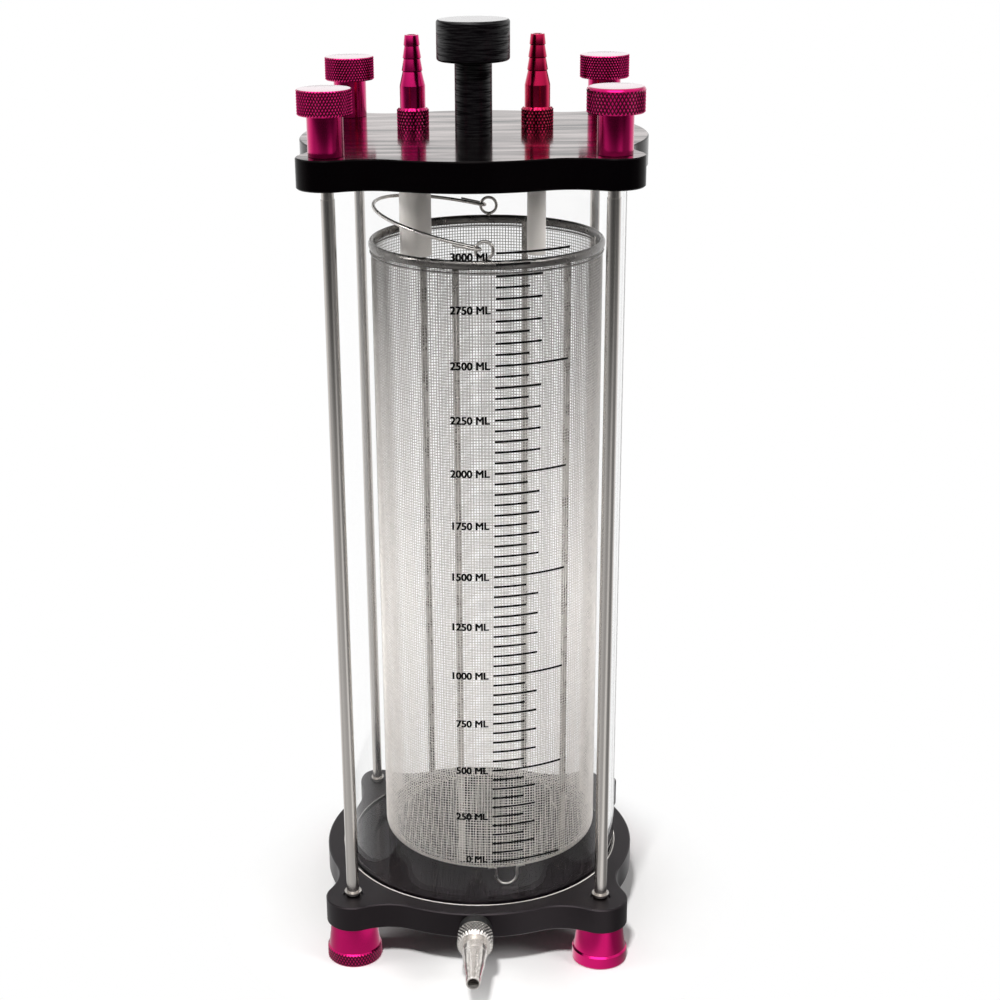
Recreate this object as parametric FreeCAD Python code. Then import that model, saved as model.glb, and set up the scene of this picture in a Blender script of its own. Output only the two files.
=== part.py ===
import FreeCAD
import Part
import math
import os

from FreeCAD import Vector

# Suction canister: a clear cylinder clamped between two black plates by four tie rods, with a
# wire-mesh strainer basket standing loose inside.
# Millimetres, +Z up. The origin is on the floor, on the axis of the clear cylinder, and the
# drain nozzle points to -Y.

# Tie rods, at the corners of a square
rod_gap = 12.03                 # between a rod and the outside of the clear cylinder
rod_diameter = 5.5
rod_neck_step = 0.25            # radius lost at the threaded end that passes through the lid
rod_shoulder_drop = 4.5         # from the shoulder up to the underside of the lid
rod_foot_floor = 6.0            # solid metal of a foot below the rod's bore
rod_nut_depth = 14.0            # length screwed into a thumb nut
thread_clearance = 0.05         # radial play of a screwed or pushed-in fit
bore_end_room = 1.5             # a blind bore is this much deeper than its shaft

# Plates: a disc with four round ears and hollow waists between them
disc_margin = 8.0               # from the outside of the clear cylinder to the disc's edge
ear_radius = 12.0
waist_radius = 25.0
base_thickness = 12.0
lid_thickness = 12.0
plate_chamfer = 0.5
plate_gap = 313.0               # from the base plate's top to the lid's underside
floor_pocket_room = 1.4         # from the basket's feet to the edge of the shallow sump
floor_pocket_depth = 1.5

# Clear cylinder, its grooves and gaskets
cylinder_radius = 63.0
cylinder_wall = 3.0
groove_depth = 3.0
groove_clearance = 0.2
gasket_thickness = 1.2

# Feet
foot_height = 18.5
foot_rim_radius = 12.2
foot_rim_height = 5.6
foot_ledge = 0.8                # slope between the rim and the cone, as wide as it is high
foot_top_radius = 10.0
foot_chamfer = 0.6

# Flanged collars at the foot of the rods
collar_wall = 0.45
collar_flange_width = 0.6
collar_flange_height = 0.8
collar_stand = 2.2              # from the base plate's top to the collar's top
collar_sink_room = 0.7          # round the flange
collar_sink_depth = 0.8

# Thumb nuts
nut_head_radius = 10.65
nut_head_height = 9.7
nut_shank_radius = 7.0
nut_shank_height = 15.5
nut_chamfer = 0.5
nut_seat_gap = 0.05             # running clearance between a nut and the lid
odd_nut_head_radius = 11.2      # the front right nut is a little wider, with a rounded rim
odd_nut_rounding = 1.4

# Lid handle
handle_head_radius = 14.85
handle_head_height = 16.0
handle_head_rounding = 1.2
handle_stem_radius = 7.6
handle_stem_height = 29.0
handle_stud_radius = 4.0
handle_stud_length = 9.0

# Hose barbs in the lid
barb_offset_y = 23.0            # behind the handle
barb_collar_radius = 6.8
barb_collar_height = 7.8
barb_collar_chamfer = 1.0
barb_body_radius = 5.35
barb_body_top = 16.6            # top of the straight body, above the lid
barb_cone_height = 5.7          # from the straight body up to the lowest neck
barb_tip_radius = 2.9
barb_crest_growth = 0.48        # each crest is this much larger than the one above
barb_crest_step = 0.34          # how far the hose-holding edge stands out over the neck below
barb_crest_rise = 0.45          # from a neck up to its crest
barb_pitch = 5.1
barb_count = 3
barb_tip_height = 4.5           # from the topmost neck to the tip
barb_thread_radius = 5.2
barb_bore_radius = 1.8
barb_spigot_length = 9.0        # below the lid, inside a dip tube

# Dip tubes
wide_tube_radius = 6.9
wide_tube_wall = 2.0
narrow_tube_radius = 4.05
narrow_tube_wall = 1.3
dip_tube_length = 42.0
dip_tube_rim_gap = 1.4          # between the wide tube and the basket's rim

# Drain nozzle, on the front edge of the base plate
nozzle_cover = 0.5              # metal between the stub and the cylinder's groove
nozzle_stub_radius = 3.5
nozzle_stub_length = 9.0
nozzle_washer_radius = 7.2
nozzle_washer_thickness = 6.4   # thick rubber, which keeps the collar clear of the plate
nozzle_collar_radius = 7.9
nozzle_collar_length = 7.9
nozzle_collar_chamfer = 1.3
nozzle_land_radius = 5.3        # straight length next to the collar
nozzle_land_length = 7.1
nozzle_crest_step = 0.22        # how far a crest stands out
nozzle_crests = ((4.65, 14.7), (3.85, 20.4), (3.35, 24.5))  # radius, distance from the collar
nozzle_tip_radius = 3.0
nozzle_tip_distance = 28.3      # from the collar
nozzle_bore_radius = 2.45
drain_bore_depth = 20.0         # of the passage in the plate, from its front edge
drain_channel_reach = 22.0      # from the sump's edge in to the channel's shallow end
drain_channel_radius = 2.6

# Strainer basket
basket_shift = 5.0              # it stands loose, this far off the axis towards +X
basket_room = 11.5              # from the mesh to the clear cylinder, with the basket centred
basket_headroom = 31.0          # from the middle of the rim bead up to the lid
mesh_thickness = 0.8
basket_corner_radius = 5.0
rim_bead_radius = 1.2
rim_band_height = 4.0
rim_band_thickness = 0.6
rib_count = 6
rib_first_angle = -14.0         # degrees from the front, towards +X
rib_pitch_angle = 58.0          # the gap left over, at the seam of the mesh, is wider
rib_width = 2.8
rib_thickness = 1.0
mesh_bar = 3.0                  # width of the bars left between the gaps
wall_gap_rows = 10
wall_gaps_per_panel = 2
floor_gap_pitch = 12.0
floor_gap_reach = 3             # rows of floor gaps to either side of the middle

# Bent wire feet of the basket
basket_foot_count = 3
basket_foot_first_angle = 11.0
basket_foot_height = 10.0
basket_foot_inset = 5.5         # from the mesh in to the circle that they stand on
basket_foot_width = 9.6
basket_foot_flange = 2.0
basket_foot_bend = 1.4
basket_foot_wire = 0.6          # radius

# Eyelets and bail
eyelet_outer_radius = 4.1
eyelet_wire = 0.65              # radius
eyelet_weld_radius = 1.0
bail_wire = 0.75                # radius
bail_setback = 0.35             # how far short of the rim the laid-flat bow ends
bail_angle = 12.0               # how far the bow is raised above level
bail_hook_clearance = 0.35
bail_tail_length = 9.0

# Heights and places that follow from the sizes above
base_bottom = foot_height
base_top = base_bottom + base_thickness
lid_bottom = base_top + plate_gap
lid_top = lid_bottom + lid_thickness
disc_radius = cylinder_radius + disc_margin
cylinder_inner_radius = cylinder_radius - cylinder_wall
rod_radius = rod_diameter / 2
rod_neck_radius = rod_radius - rod_neck_step
rod_distance = cylinder_radius + rod_gap + rod_radius
rod_offset = rod_distance / math.sqrt(2)
basket_radius = cylinder_inner_radius - basket_room
basket_foot_circle = basket_radius - basket_foot_inset
floor_pocket_radius = basket_shift + basket_foot_circle + basket_foot_wire + floor_pocket_room
sump_floor = base_top - floor_pocket_depth
basket_floor = sump_floor + basket_foot_height
rim_middle = lid_bottom - basket_headroom
rim_bottom = rim_middle - rim_bead_radius
rim_circle = basket_radius - mesh_thickness / 2
wide_tube_distance = rim_circle - rim_bead_radius - dip_tube_rim_gap - wide_tube_radius
barb_offset_x = math.sqrt(wide_tube_distance**2 - barb_offset_y**2) - basket_shift
eyelet_ring_radius = eyelet_outer_radius - eyelet_wire
pivot_height = rim_middle + rim_bead_radius + eyelet_outer_radius
bail_reach = rim_circle - bail_setback
nozzle_height = base_top - groove_depth - nozzle_cover - nozzle_stub_radius
collar_radius = rod_radius + collar_wall
collar_flange_radius = collar_radius + collar_flange_width
collar_sink_radius = collar_flange_radius + collar_sink_room

corners = {
    "front_left": (-rod_offset, -rod_offset),
    "front_right": (rod_offset, -rod_offset),
    "back_left": (-rod_offset, rod_offset),
    "back_right": (rod_offset, rod_offset),
}
quarter_turn = 90
full_turn = 360
same = 1e-6                     # two lengths that differ by less are taken as equal
up = Vector(0, 0, 1)
backward = Vector(0, 1, 0)
axis_base = Vector(0, 0, 0)


def polar(radius, angle, height=0.0):
    """Point at an angle in degrees, anticlockwise from +X."""
    turn = math.radians(angle)
    return Vector(radius * math.cos(turn), radius * math.sin(turn), height)


def cylinder(radius, height, base=axis_base, direction=up):
    return Part.makeCylinder(radius, height, base, direction)


def ring(inner_radius, outer_radius, height, base=axis_base):
    """Tube standing on a point."""
    return cylinder(outer_radius, height, base).cut(cylinder(inner_radius, height, base))


def turned(profile, base=axis_base):
    """Solid turned about Z from (radius, height) points."""
    points = [Vector(radius, 0, height) for radius, height in profile]
    solid = Part.Face(Part.makePolygon(points + points[:1])).revolve(axis_base, up, full_turn)
    solid.translate(base)
    return solid


def closed_circles(solid, radius, heights):
    """The full circular edges of one radius at the given heights."""
    chosen = []
    for edge in solid.Edges:
        if isinstance(edge.Curve, Part.Circle) and edge.isClosed():
            right_height = any(abs(edge.Curve.Center.z - height) < same for height in heights)
            if right_height and abs(edge.Curve.Radius - radius) < same:
                chosen.append(edge)
    return chosen


def plate_outline(height):
    """Disc, ears and the waist arcs tangent to both, as one closed wire."""
    waist_distance = disc_radius + waist_radius
    waist_to_ear = ear_radius + waist_radius
    squares = waist_distance**2 + rod_distance**2 - waist_to_ear**2
    waist_angle = math.degrees(math.acos(squares / (2 * waist_distance * rod_distance)))
    edges = []
    for corner in range(len(corners)):
        ear_angle = quarter_turn * corner + quarter_turn / 2
        ear_centre = polar(rod_distance, ear_angle, height)
        disc_points = []
        ear_points = []
        waist_middles = []
        for side in (-1, 1):
            waist_centre = polar(waist_distance, ear_angle + side * waist_angle, height)
            disc_point = polar(disc_radius, ear_angle + side * waist_angle, height)
            ear_point = ear_centre + (waist_centre - ear_centre) * (ear_radius / waist_to_ear)
            inward = (disc_point + ear_point) * 0.5 - waist_centre
            waist_middles.append(waist_centre + inward * (waist_radius / inward.Length))
            disc_points.append(disc_point)
            ear_points.append(ear_point)
        next_disc_point = polar(disc_radius, ear_angle + quarter_turn - waist_angle, height)
        edges.append(Part.Arc(disc_points[0], waist_middles[0], ear_points[0]).toShape())
        ear_tip = polar(rod_distance + ear_radius, ear_angle, height)
        edges.append(Part.Arc(ear_points[0], ear_tip, ear_points[1]).toShape())
        edges.append(Part.Arc(ear_points[1], waist_middles[1], disc_points[1]).toShape())
        disc_middle = polar(disc_radius, ear_angle + quarter_turn / 2, height)
        edges.append(Part.Arc(disc_points[1], disc_middle, next_disc_point).toShape())
    return Part.Wire(edges)


def plate_blank(bottom, thickness):
    """Plate with both rims of its edge broken."""
    blank = Part.Face(plate_outline(bottom)).extrude(Vector(0, 0, thickness))
    rims = [edge for edge in blank.Edges if edge.BoundBox.ZLength < same]
    return blank.makeChamfer(plate_chamfer, rims)


def seat_groove(bottom):
    """Ring that the end of the clear cylinder stands in."""
    inner_radius = cylinder_inner_radius - groove_clearance
    outer_radius = cylinder_radius + groove_clearance
    return ring(inner_radius, outer_radius, groove_depth, Vector(0, 0, bottom))


def base_plate():
    plate = plate_blank(base_bottom, base_thickness)
    plate = plate.cut(seat_groove(base_top - groove_depth))
    plate = plate.cut(cylinder(floor_pocket_radius, floor_pocket_depth, Vector(0, 0, sump_floor)))
    for x, y in corners.values():
        plate = plate.cut(cylinder(rod_radius + thread_clearance, base_thickness, Vector(x, y, base_bottom)))
        sink_bottom = Vector(x, y, base_top - collar_sink_depth)
        plate = plate.cut(cylinder(collar_sink_radius, collar_sink_depth, sink_bottom))
    front = Vector(0, -disc_radius, nozzle_height)
    stub_hole_depth = nozzle_stub_length + bore_end_room
    plate = plate.cut(cylinder(nozzle_stub_radius + thread_clearance, stub_hole_depth, front, backward))
    plate = plate.cut(cylinder(nozzle_bore_radius, drain_bore_depth, front, backward))
    return plate.cut(drain_channel())


def drain_channel():
    """Tapered channel that runs down from the sump floor into the drain passage."""
    shallow_end = Vector(0, drain_channel_reach - floor_pocket_radius, sump_floor)
    deep_end = Vector(0, drain_bore_depth - disc_radius, nozzle_height)
    along = deep_end - shallow_end
    return Part.makeCone(0, drain_channel_radius, along.Length, shallow_end, along)


def lid_plate():
    plate = plate_blank(lid_bottom, lid_thickness)
    plate = plate.cut(seat_groove(lid_bottom))
    for x, y in corners.values():
        hole_radius = rod_radius + thread_clearance
        plate = plate.cut(cylinder(hole_radius, lid_thickness, Vector(x, y, lid_bottom)))
    for side in (-1, 1):
        hole_base = Vector(side * barb_offset_x, barb_offset_y, lid_bottom)
        plate = plate.cut(cylinder(barb_thread_radius + thread_clearance, lid_thickness, hole_base))
    stud_hole_depth = handle_stud_length + bore_end_room
    stud_hole_base = Vector(0, 0, lid_top - stud_hole_depth)
    return plate.cut(cylinder(handle_stud_radius + thread_clearance, stud_hole_depth, stud_hole_base))


def gasket(bottom):
    inner_radius = cylinder_inner_radius - groove_clearance
    outer_radius = cylinder_radius + groove_clearance
    return ring(inner_radius, outer_radius, gasket_thickness, Vector(0, 0, bottom))


def clear_cylinder():
    bottom = base_top - groove_depth + gasket_thickness
    top = lid_bottom + groove_depth - gasket_thickness
    return ring(cylinder_inner_radius, cylinder_radius, top - bottom, Vector(0, 0, bottom))


def tie_rod(x, y):
    """Rod from inside the foot to inside the thumb nut, necked above its shoulder."""
    bottom = rod_foot_floor + bore_end_room
    shoulder = lid_bottom - rod_shoulder_drop
    top = lid_top + rod_nut_depth
    profile = [(0, bottom), (rod_radius, bottom), (rod_radius, shoulder), (rod_neck_radius, shoulder),
               (rod_neck_radius, top), (0, top)]
    return turned(profile, Vector(x, y, 0))


def rod_collar(x, y):
    """Flanged ring round a rod, standing in its sink in the base plate."""
    bottom = base_top - collar_sink_depth
    top = base_top + collar_stand
    flange_bottom = top - collar_flange_height
    bore = rod_radius + thread_clearance
    profile = [(bore, bottom), (collar_radius, bottom), (collar_radius, flange_bottom),
               (collar_flange_radius, flange_bottom), (collar_flange_radius, top), (bore, top)]
    return turned(profile, Vector(x, y, 0))


def foot(x, y):
    """Flared foot, screwed up onto the rod's lower end."""
    bore = rod_radius + thread_clearance
    profile = [(0, 0), (foot_rim_radius - foot_chamfer, 0), (foot_rim_radius, foot_chamfer),
               (foot_rim_radius, foot_rim_height),
               (foot_rim_radius - foot_ledge, foot_rim_height + foot_ledge),
               (foot_top_radius, foot_height), (bore, foot_height),
               (bore, rod_foot_floor), (0, rod_foot_floor)]
    return turned(profile, Vector(x, y, 0))


def thumb_nut(x, y, head_radius, rounding):
    """Round nut with a wide head on a plain shank; rounding is 0 for a plain broken edge."""
    bottom = lid_top + nut_seat_gap
    head_bottom = bottom + nut_shank_height
    top = head_bottom + nut_head_height
    bore = rod_neck_radius + thread_clearance
    bore_top = lid_top + rod_nut_depth + bore_end_room
    head = cylinder(head_radius, nut_head_height, Vector(x, y, head_bottom))
    if rounding > 0:
        head = head.makeFillet(rounding, closed_circles(head, head_radius, [top]))
        head = head.makeChamfer(nut_chamfer, closed_circles(head, head_radius, [head_bottom]))
    else:
        head = head.makeChamfer(nut_chamfer, closed_circles(head, head_radius, [head_bottom, top]))
    nut = head.fuse(cylinder(nut_shank_radius, nut_shank_height, Vector(x, y, bottom)))
    return nut.cut(cylinder(bore, bore_top - bottom, Vector(x, y, bottom)))


def lid_handle():
    """Knob, stem and threaded stud, turned from one bar."""
    head_bottom = lid_top + handle_stem_height
    head = cylinder(handle_head_radius, handle_head_height, Vector(0, 0, head_bottom))
    rims = closed_circles(head, handle_head_radius, [head_bottom, head_bottom + handle_head_height])
    head = head.makeFillet(handle_head_rounding, rims)
    stem = cylinder(handle_stem_radius, handle_stem_height, Vector(0, 0, lid_top))
    stud = cylinder(handle_stud_radius, handle_stud_length, Vector(0, 0, lid_top - handle_stud_length))
    return head.fuse([stem, stud])


def hose_barb(x, spigot_radius):
    """Fitting with a collar, a straight body, three crests that hold a hose, and a spigot below."""
    collar_top = lid_top + barb_collar_height
    spigot_bottom = lid_bottom - barb_spigot_length
    profile = [(barb_bore_radius, spigot_bottom), (spigot_radius, spigot_bottom),
               (spigot_radius, lid_bottom), (barb_thread_radius, lid_bottom),
               (barb_thread_radius, lid_top), (barb_collar_radius, lid_top),
               (barb_collar_radius, collar_top - barb_collar_chamfer),
               (barb_collar_radius - barb_collar_chamfer, collar_top),
               (barb_body_radius, collar_top), (barb_body_radius, lid_top + barb_body_top)]
    height = lid_top + barb_body_top + barb_cone_height
    for crest in range(barb_count, 0, -1):
        crest_radius = barb_tip_radius + crest * barb_crest_growth
        profile.append((crest_radius - barb_crest_step, height))
        profile.append((crest_radius, height + barb_crest_rise))
        height += barb_pitch if crest > 1 else barb_tip_height
    profile.append((barb_tip_radius, height))
    profile.append((barb_bore_radius, height))
    return turned(profile, Vector(x, barb_offset_y, 0))


def dip_tube(x, outer_radius, wall):
    bottom = Vector(x, barb_offset_y, lid_bottom - dip_tube_length)
    return ring(outer_radius - wall, outer_radius, dip_tube_length, bottom)


def laid_forward(solid):
    """Turn a piece modelled along +Z to point to -Y, and put it on the nozzle's axis."""
    solid.rotate(axis_base, Vector(1, 0, 0), quarter_turn)
    solid.translate(Vector(0, -disc_radius, nozzle_height))
    return solid


def nozzle_washer():
    return laid_forward(ring(nozzle_stub_radius, nozzle_washer_radius, nozzle_washer_thickness))


def drain_nozzle():
    """Threaded stub, collar and a long taper with low crests, bored right through."""
    collar_bottom = nozzle_washer_thickness
    collar_top = collar_bottom + nozzle_collar_length
    land_top = collar_top + nozzle_land_length
    profile = [(nozzle_bore_radius, -nozzle_stub_length), (nozzle_stub_radius, -nozzle_stub_length),
               (nozzle_stub_radius, collar_bottom), (nozzle_collar_radius, collar_bottom),
               (nozzle_collar_radius, collar_top - nozzle_collar_chamfer),
               (nozzle_collar_radius - nozzle_collar_chamfer, collar_top),
               (nozzle_land_radius, collar_top), (nozzle_land_radius, land_top)]
    for radius, distance in nozzle_crests:
        profile.append((radius - nozzle_crest_step, collar_top + distance))
        profile.append((radius, collar_top + distance))
    profile.append((nozzle_tip_radius, collar_top + nozzle_tip_distance))
    profile.append((nozzle_bore_radius, collar_top + nozzle_tip_distance))
    return laid_forward(turned(profile))


def on_basket(solid):
    """Move a piece modelled about the Z axis to where the basket stands."""
    solid.translate(Vector(basket_shift, 0, 0))
    return solid


def rib_angles():
    return [rib_first_angle + rib * rib_pitch_angle for rib in range(rib_count)]


def facing_block(radius, angle, width, depth, bottom, height):
    """Block whose outer face lies at a radius and faces out at an angle from the front."""
    block = Part.makeBox(width, depth, height, Vector(-width / 2, -radius, bottom))
    block.rotate(axis_base, up, angle)
    return block


def basket_wall():
    """Mesh sleeve: rows of gaps between narrow bars, in the panels between the ribs."""
    bottom = basket_floor + basket_corner_radius
    height = rim_bottom - bottom
    sleeve = ring(basket_radius - mesh_thickness, basket_radius, height, Vector(0, 0, bottom))
    starts = rib_angles()
    ends = starts[1:] + [starts[0] + full_turn]
    row_height = (height - mesh_bar) / wall_gap_rows
    gaps = []
    for start, end in zip(starts, ends):
        column_angle = (end - start) / wall_gaps_per_panel
        gap_width = 2 * basket_radius * math.sin(math.radians(column_angle / 2)) - mesh_bar
        for column in range(wall_gaps_per_panel):
            angle = start + (column + 0.5) * column_angle
            for row in range(wall_gap_rows):
                gap_bottom = bottom + mesh_bar + row * row_height
                gaps.append(facing_block(basket_radius + mesh_bar, angle, gap_width,
                                         basket_radius / 2, gap_bottom, row_height - mesh_bar))
    return on_basket(sleeve.cut(Part.makeCompound(gaps)))


def basket_floor_dish():
    """Mesh floor with its edge turned up to the wall."""
    flat_radius = basket_radius - basket_corner_radius
    corner = basket_corner_radius
    inner_corner = corner - mesh_thickness
    slope = math.sqrt(0.5)
    low, high = basket_floor, basket_floor + corner
    outer_middle = Vector(flat_radius + corner * slope, 0, high - corner * slope)
    inner_middle = Vector(flat_radius + inner_corner * slope, 0, high - inner_corner * slope)
    edges = [
        Part.makeLine(Vector(0, 0, low), Vector(flat_radius, 0, low)),
        Part.Arc(Vector(flat_radius, 0, low), outer_middle, Vector(basket_radius, 0, high)).toShape(),
        Part.makeLine(Vector(basket_radius, 0, high), Vector(basket_radius - mesh_thickness, 0, high)),
        Part.Arc(Vector(basket_radius - mesh_thickness, 0, high), inner_middle,
                 Vector(flat_radius, 0, low + mesh_thickness)).toShape(),
        Part.makeLine(Vector(flat_radius, 0, low + mesh_thickness), Vector(0, 0, low + mesh_thickness)),
        Part.makeLine(Vector(0, 0, low + mesh_thickness), Vector(0, 0, low)),
    ]
    dish = Part.Face(Part.Wire(edges)).revolve(axis_base, up, full_turn)
    gap_width = floor_gap_pitch - mesh_bar
    gaps = []
    for column in range(-floor_gap_reach, floor_gap_reach + 1):
        for row in range(-floor_gap_reach, floor_gap_reach + 1):
            x, y = column * floor_gap_pitch, row * floor_gap_pitch
            far_corner = math.hypot(abs(x) + gap_width / 2, abs(y) + gap_width / 2)
            if far_corner < flat_radius - basket_foot_flange:
                corner_point = Vector(x - gap_width / 2, y - gap_width / 2, basket_floor)
                gaps.append(Part.makeBox(gap_width, gap_width, mesh_thickness, corner_point))
    return on_basket(dish.cut(Part.makeCompound(gaps)))


def rim_bead(radius=rim_bead_radius):
    return Part.makeTorus(rim_circle, radius, Vector(0, 0, rim_middle))


def basket_rim():
    """Rolled bead over a band that clasps the top edge of the mesh."""
    band_base = Vector(0, 0, rim_middle - rim_band_height)
    band = ring(basket_radius, basket_radius + rim_band_thickness, rim_band_height, band_base)
    return on_basket(rim_bead().fuse(band))


def basket_rib(angle):
    """Flat strip on the inside of the mesh."""
    inner_radius = basket_radius - mesh_thickness
    face_distance = math.sqrt(inner_radius**2 - (rib_width / 2) ** 2)
    bottom = basket_floor + basket_corner_radius
    return on_basket(facing_block(face_distance, angle, rib_width, rib_thickness, bottom, rim_bottom - bottom))


def wire_along(edges, wire_radius, start, direction):
    """Round wire swept along tangent edges."""
    section = Part.Wire([Part.makeCircle(wire_radius, start, direction)])
    return Part.Wire(edges).makePipeShell([section], True, False)


def basket_foot(angle):
    """U of wire under the floor, its two ends bent out flat and welded to the mesh."""
    top = basket_floor - basket_foot_wire
    low = sump_floor + basket_foot_wire
    half = basket_foot_width / 2
    bend = basket_foot_bend
    slope = math.sqrt(0.5)
    end = half + bend + basket_foot_flange
    left_end, left_flange = Vector(-end, 0, top), Vector(-half - bend, 0, top)
    right_end, right_flange = Vector(end, 0, top), Vector(half + bend, 0, top)
    left_bend = Vector(-half - bend + bend * slope, 0, top - bend + bend * slope)
    right_bend = Vector(half + bend - bend * slope, 0, top - bend + bend * slope)
    left_leg, right_leg = Vector(-half, 0, top - bend), Vector(half, 0, top - bend)
    left_turn, right_turn = Vector(-half, 0, low + half), Vector(half, 0, low + half)
    edges = [
        Part.makeLine(left_end, left_flange),
        Part.Arc(left_flange, left_bend, left_leg).toShape(),
        Part.makeLine(left_leg, left_turn),
        Part.Arc(left_turn, Vector(0, 0, low), right_turn).toShape(),
        Part.makeLine(right_turn, right_leg),
        Part.Arc(right_leg, right_bend, right_flange).toShape(),
        Part.makeLine(right_flange, right_end),
    ]
    wire = wire_along(edges, basket_foot_wire, left_end, Vector(1, 0, 0))
    wire.translate(Vector(0, -basket_foot_circle, 0))
    wire.rotate(axis_base, up, angle)
    return on_basket(wire)


def eyelet(side):
    """Ring standing on the rim bead, with its weld."""
    centre = Vector(0, side * rim_circle, pivot_height)
    loop = Part.makeTorus(eyelet_ring_radius, eyelet_wire, centre, backward)
    weld_base = Vector(0, side * rim_circle, rim_middle)
    weld_height = pivot_height - eyelet_ring_radius - rim_middle
    weld = cylinder(eyelet_weld_radius, weld_height, weld_base)
    return on_basket(loop.fuse(weld).cut(rim_bead()))


def bail():
    """Wire bow with a hook round each eyelet, drawn flat and then raised about the pivot line."""
    hook_radius = eyelet_wire + bail_hook_clearance + bail_wire
    hook_at = eyelet_ring_radius
    bow_width = rim_circle - hook_radius
    stretch = FreeCAD.Matrix()
    stretch.scale((bail_reach - hook_at) / bow_width, 1, 1)
    bow = Part.Arc(Vector(0, -bow_width, 0), Vector(-bow_width, 0, 0), Vector(0, bow_width, 0)).toShape()
    bow = bow.transformGeometry(stretch).Edges[0]
    bow.translate(Vector(-hook_at, 0, 0))
    tail = hook_at + bail_tail_length
    edges = []
    for side in (-1, 1):
        outer = side * (rim_circle + hook_radius)
        tail_end, hook_start = Vector(-tail, outer, 0), Vector(-hook_at, outer, 0)
        hook_middle = Vector(hook_radius - hook_at, side * rim_circle, 0)
        hook_end = Vector(-hook_at, side * bow_width, 0)
        straight = Part.makeLine(tail_end, hook_start)
        hook = Part.Arc(hook_start, hook_middle, hook_end).toShape()
        edges.extend([straight, hook])
    path = [edges[0], edges[1], bow, edges[3], edges[2]]
    start = Vector(-tail, -rim_circle - hook_radius, 0)
    wire = wire_along(path, bail_wire, start, Vector(1, 0, 0))
    wire.rotate(axis_base, backward, bail_angle)
    wire.translate(Vector(0, 0, pivot_height))
    return on_basket(wire)


def save(node, solid):
    solid = solid.removeSplitter()
    if solid.ShapeType == "Compound" and len(solid.Solids) == 1:
        solid = solid.Solids[0]
    solid.exportStep("parts/" + node + ".step")


def main():
    os.makedirs("parts", exist_ok=True)
    save("base_plate", base_plate())
    save("lid_plate", lid_plate())
    save("clear_cylinder", clear_cylinder())
    save("base_gasket", gasket(base_top - groove_depth))
    save("lid_gasket", gasket(lid_bottom + groove_depth - gasket_thickness))
    for corner, (x, y) in corners.items():
        save("tie_rod_" + corner, tie_rod(x, y))
        save("rod_collar_" + corner, rod_collar(x, y))
        save("foot_" + corner, foot(x, y))
        if corner == "front_right":
            save("thumb_nut_" + corner, thumb_nut(x, y, odd_nut_head_radius, odd_nut_rounding))
        else:
            save("thumb_nut_" + corner, thumb_nut(x, y, nut_head_radius, 0))
    save("lid_handle", lid_handle())
    save("hose_barb_left", hose_barb(-barb_offset_x, wide_tube_radius - wide_tube_wall - thread_clearance))
    save("hose_barb_right", hose_barb(barb_offset_x, narrow_tube_radius - narrow_tube_wall - thread_clearance))
    save("dip_tube_left", dip_tube(-barb_offset_x, wide_tube_radius, wide_tube_wall))
    save("dip_tube_right", dip_tube(barb_offset_x, narrow_tube_radius, narrow_tube_wall))
    save("drain_nozzle", drain_nozzle())
    save("nozzle_washer", nozzle_washer())
    save("basket_wall", basket_wall())
    save("basket_floor", basket_floor_dish())
    save("basket_rim", basket_rim())
    for number, angle in enumerate(rib_angles(), start=1):
        save("basket_rib_%d" % number, basket_rib(angle))
    for number in range(basket_foot_count):
        angle = basket_foot_first_angle + number * full_turn / basket_foot_count
        save("basket_foot_%d" % (number + 1), basket_foot(angle))
    save("eyelet_front", eyelet(-1))
    save("eyelet_back", eyelet(1))
    save("bail", bail())


main()
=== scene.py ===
import math

import bmesh
import bpy
from mathutils import Matrix, Vector


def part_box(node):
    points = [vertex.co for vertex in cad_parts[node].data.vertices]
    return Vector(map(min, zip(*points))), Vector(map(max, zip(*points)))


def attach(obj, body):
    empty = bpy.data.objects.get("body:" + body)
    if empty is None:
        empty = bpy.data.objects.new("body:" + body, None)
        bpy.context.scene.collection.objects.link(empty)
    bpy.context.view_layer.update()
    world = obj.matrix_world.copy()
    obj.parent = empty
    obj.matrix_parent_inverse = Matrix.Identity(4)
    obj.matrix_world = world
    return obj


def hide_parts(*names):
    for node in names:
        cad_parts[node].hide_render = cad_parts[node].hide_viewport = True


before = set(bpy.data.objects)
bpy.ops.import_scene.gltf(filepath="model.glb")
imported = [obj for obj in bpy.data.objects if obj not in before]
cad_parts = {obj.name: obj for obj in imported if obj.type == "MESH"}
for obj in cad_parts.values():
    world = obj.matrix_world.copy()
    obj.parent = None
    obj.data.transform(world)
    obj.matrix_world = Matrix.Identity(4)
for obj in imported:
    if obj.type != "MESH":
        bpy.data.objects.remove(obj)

bl_info = {
    "name": "Suction canister",
    "version": (1, 0, 0),
    "blender": (4, 5, 0),
    "location": "3D View > Sidebar > Canister",
    "description": "Dresses the canister's frame: anodised metal, clear acrylic, knurls and woven wire",
    "category": "Object",
}

MM = 0.001
FULL_TURN = 2 * math.pi
CORNERS = ("front_left", "front_right", "back_left", "back_right")
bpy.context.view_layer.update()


def linear(colour):
    """sRGB hex value, such as "#c0c0c0", as linear red, green and blue."""
    shares = [int(colour[at:at + 2], 16) / 255 for at in (1, 3, 5)]
    return tuple(s / 12.92 if s <= 0.04045 else ((s + 0.055) / 1.055) ** 2.4 for s in shares)


def length(name, description, default):
    """Length property with its default in millimetres."""
    return bpy.props.FloatProperty(name=name, description=description, default=default * MM,
                                   min=0.0, precision=5, unit="LENGTH", subtype="DISTANCE")


def colour(name, description, default):
    return bpy.props.FloatVectorProperty(name=name, description=description, size=3, min=0.0,
                                         max=1.0, subtype="COLOR", default=linear(default))


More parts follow.
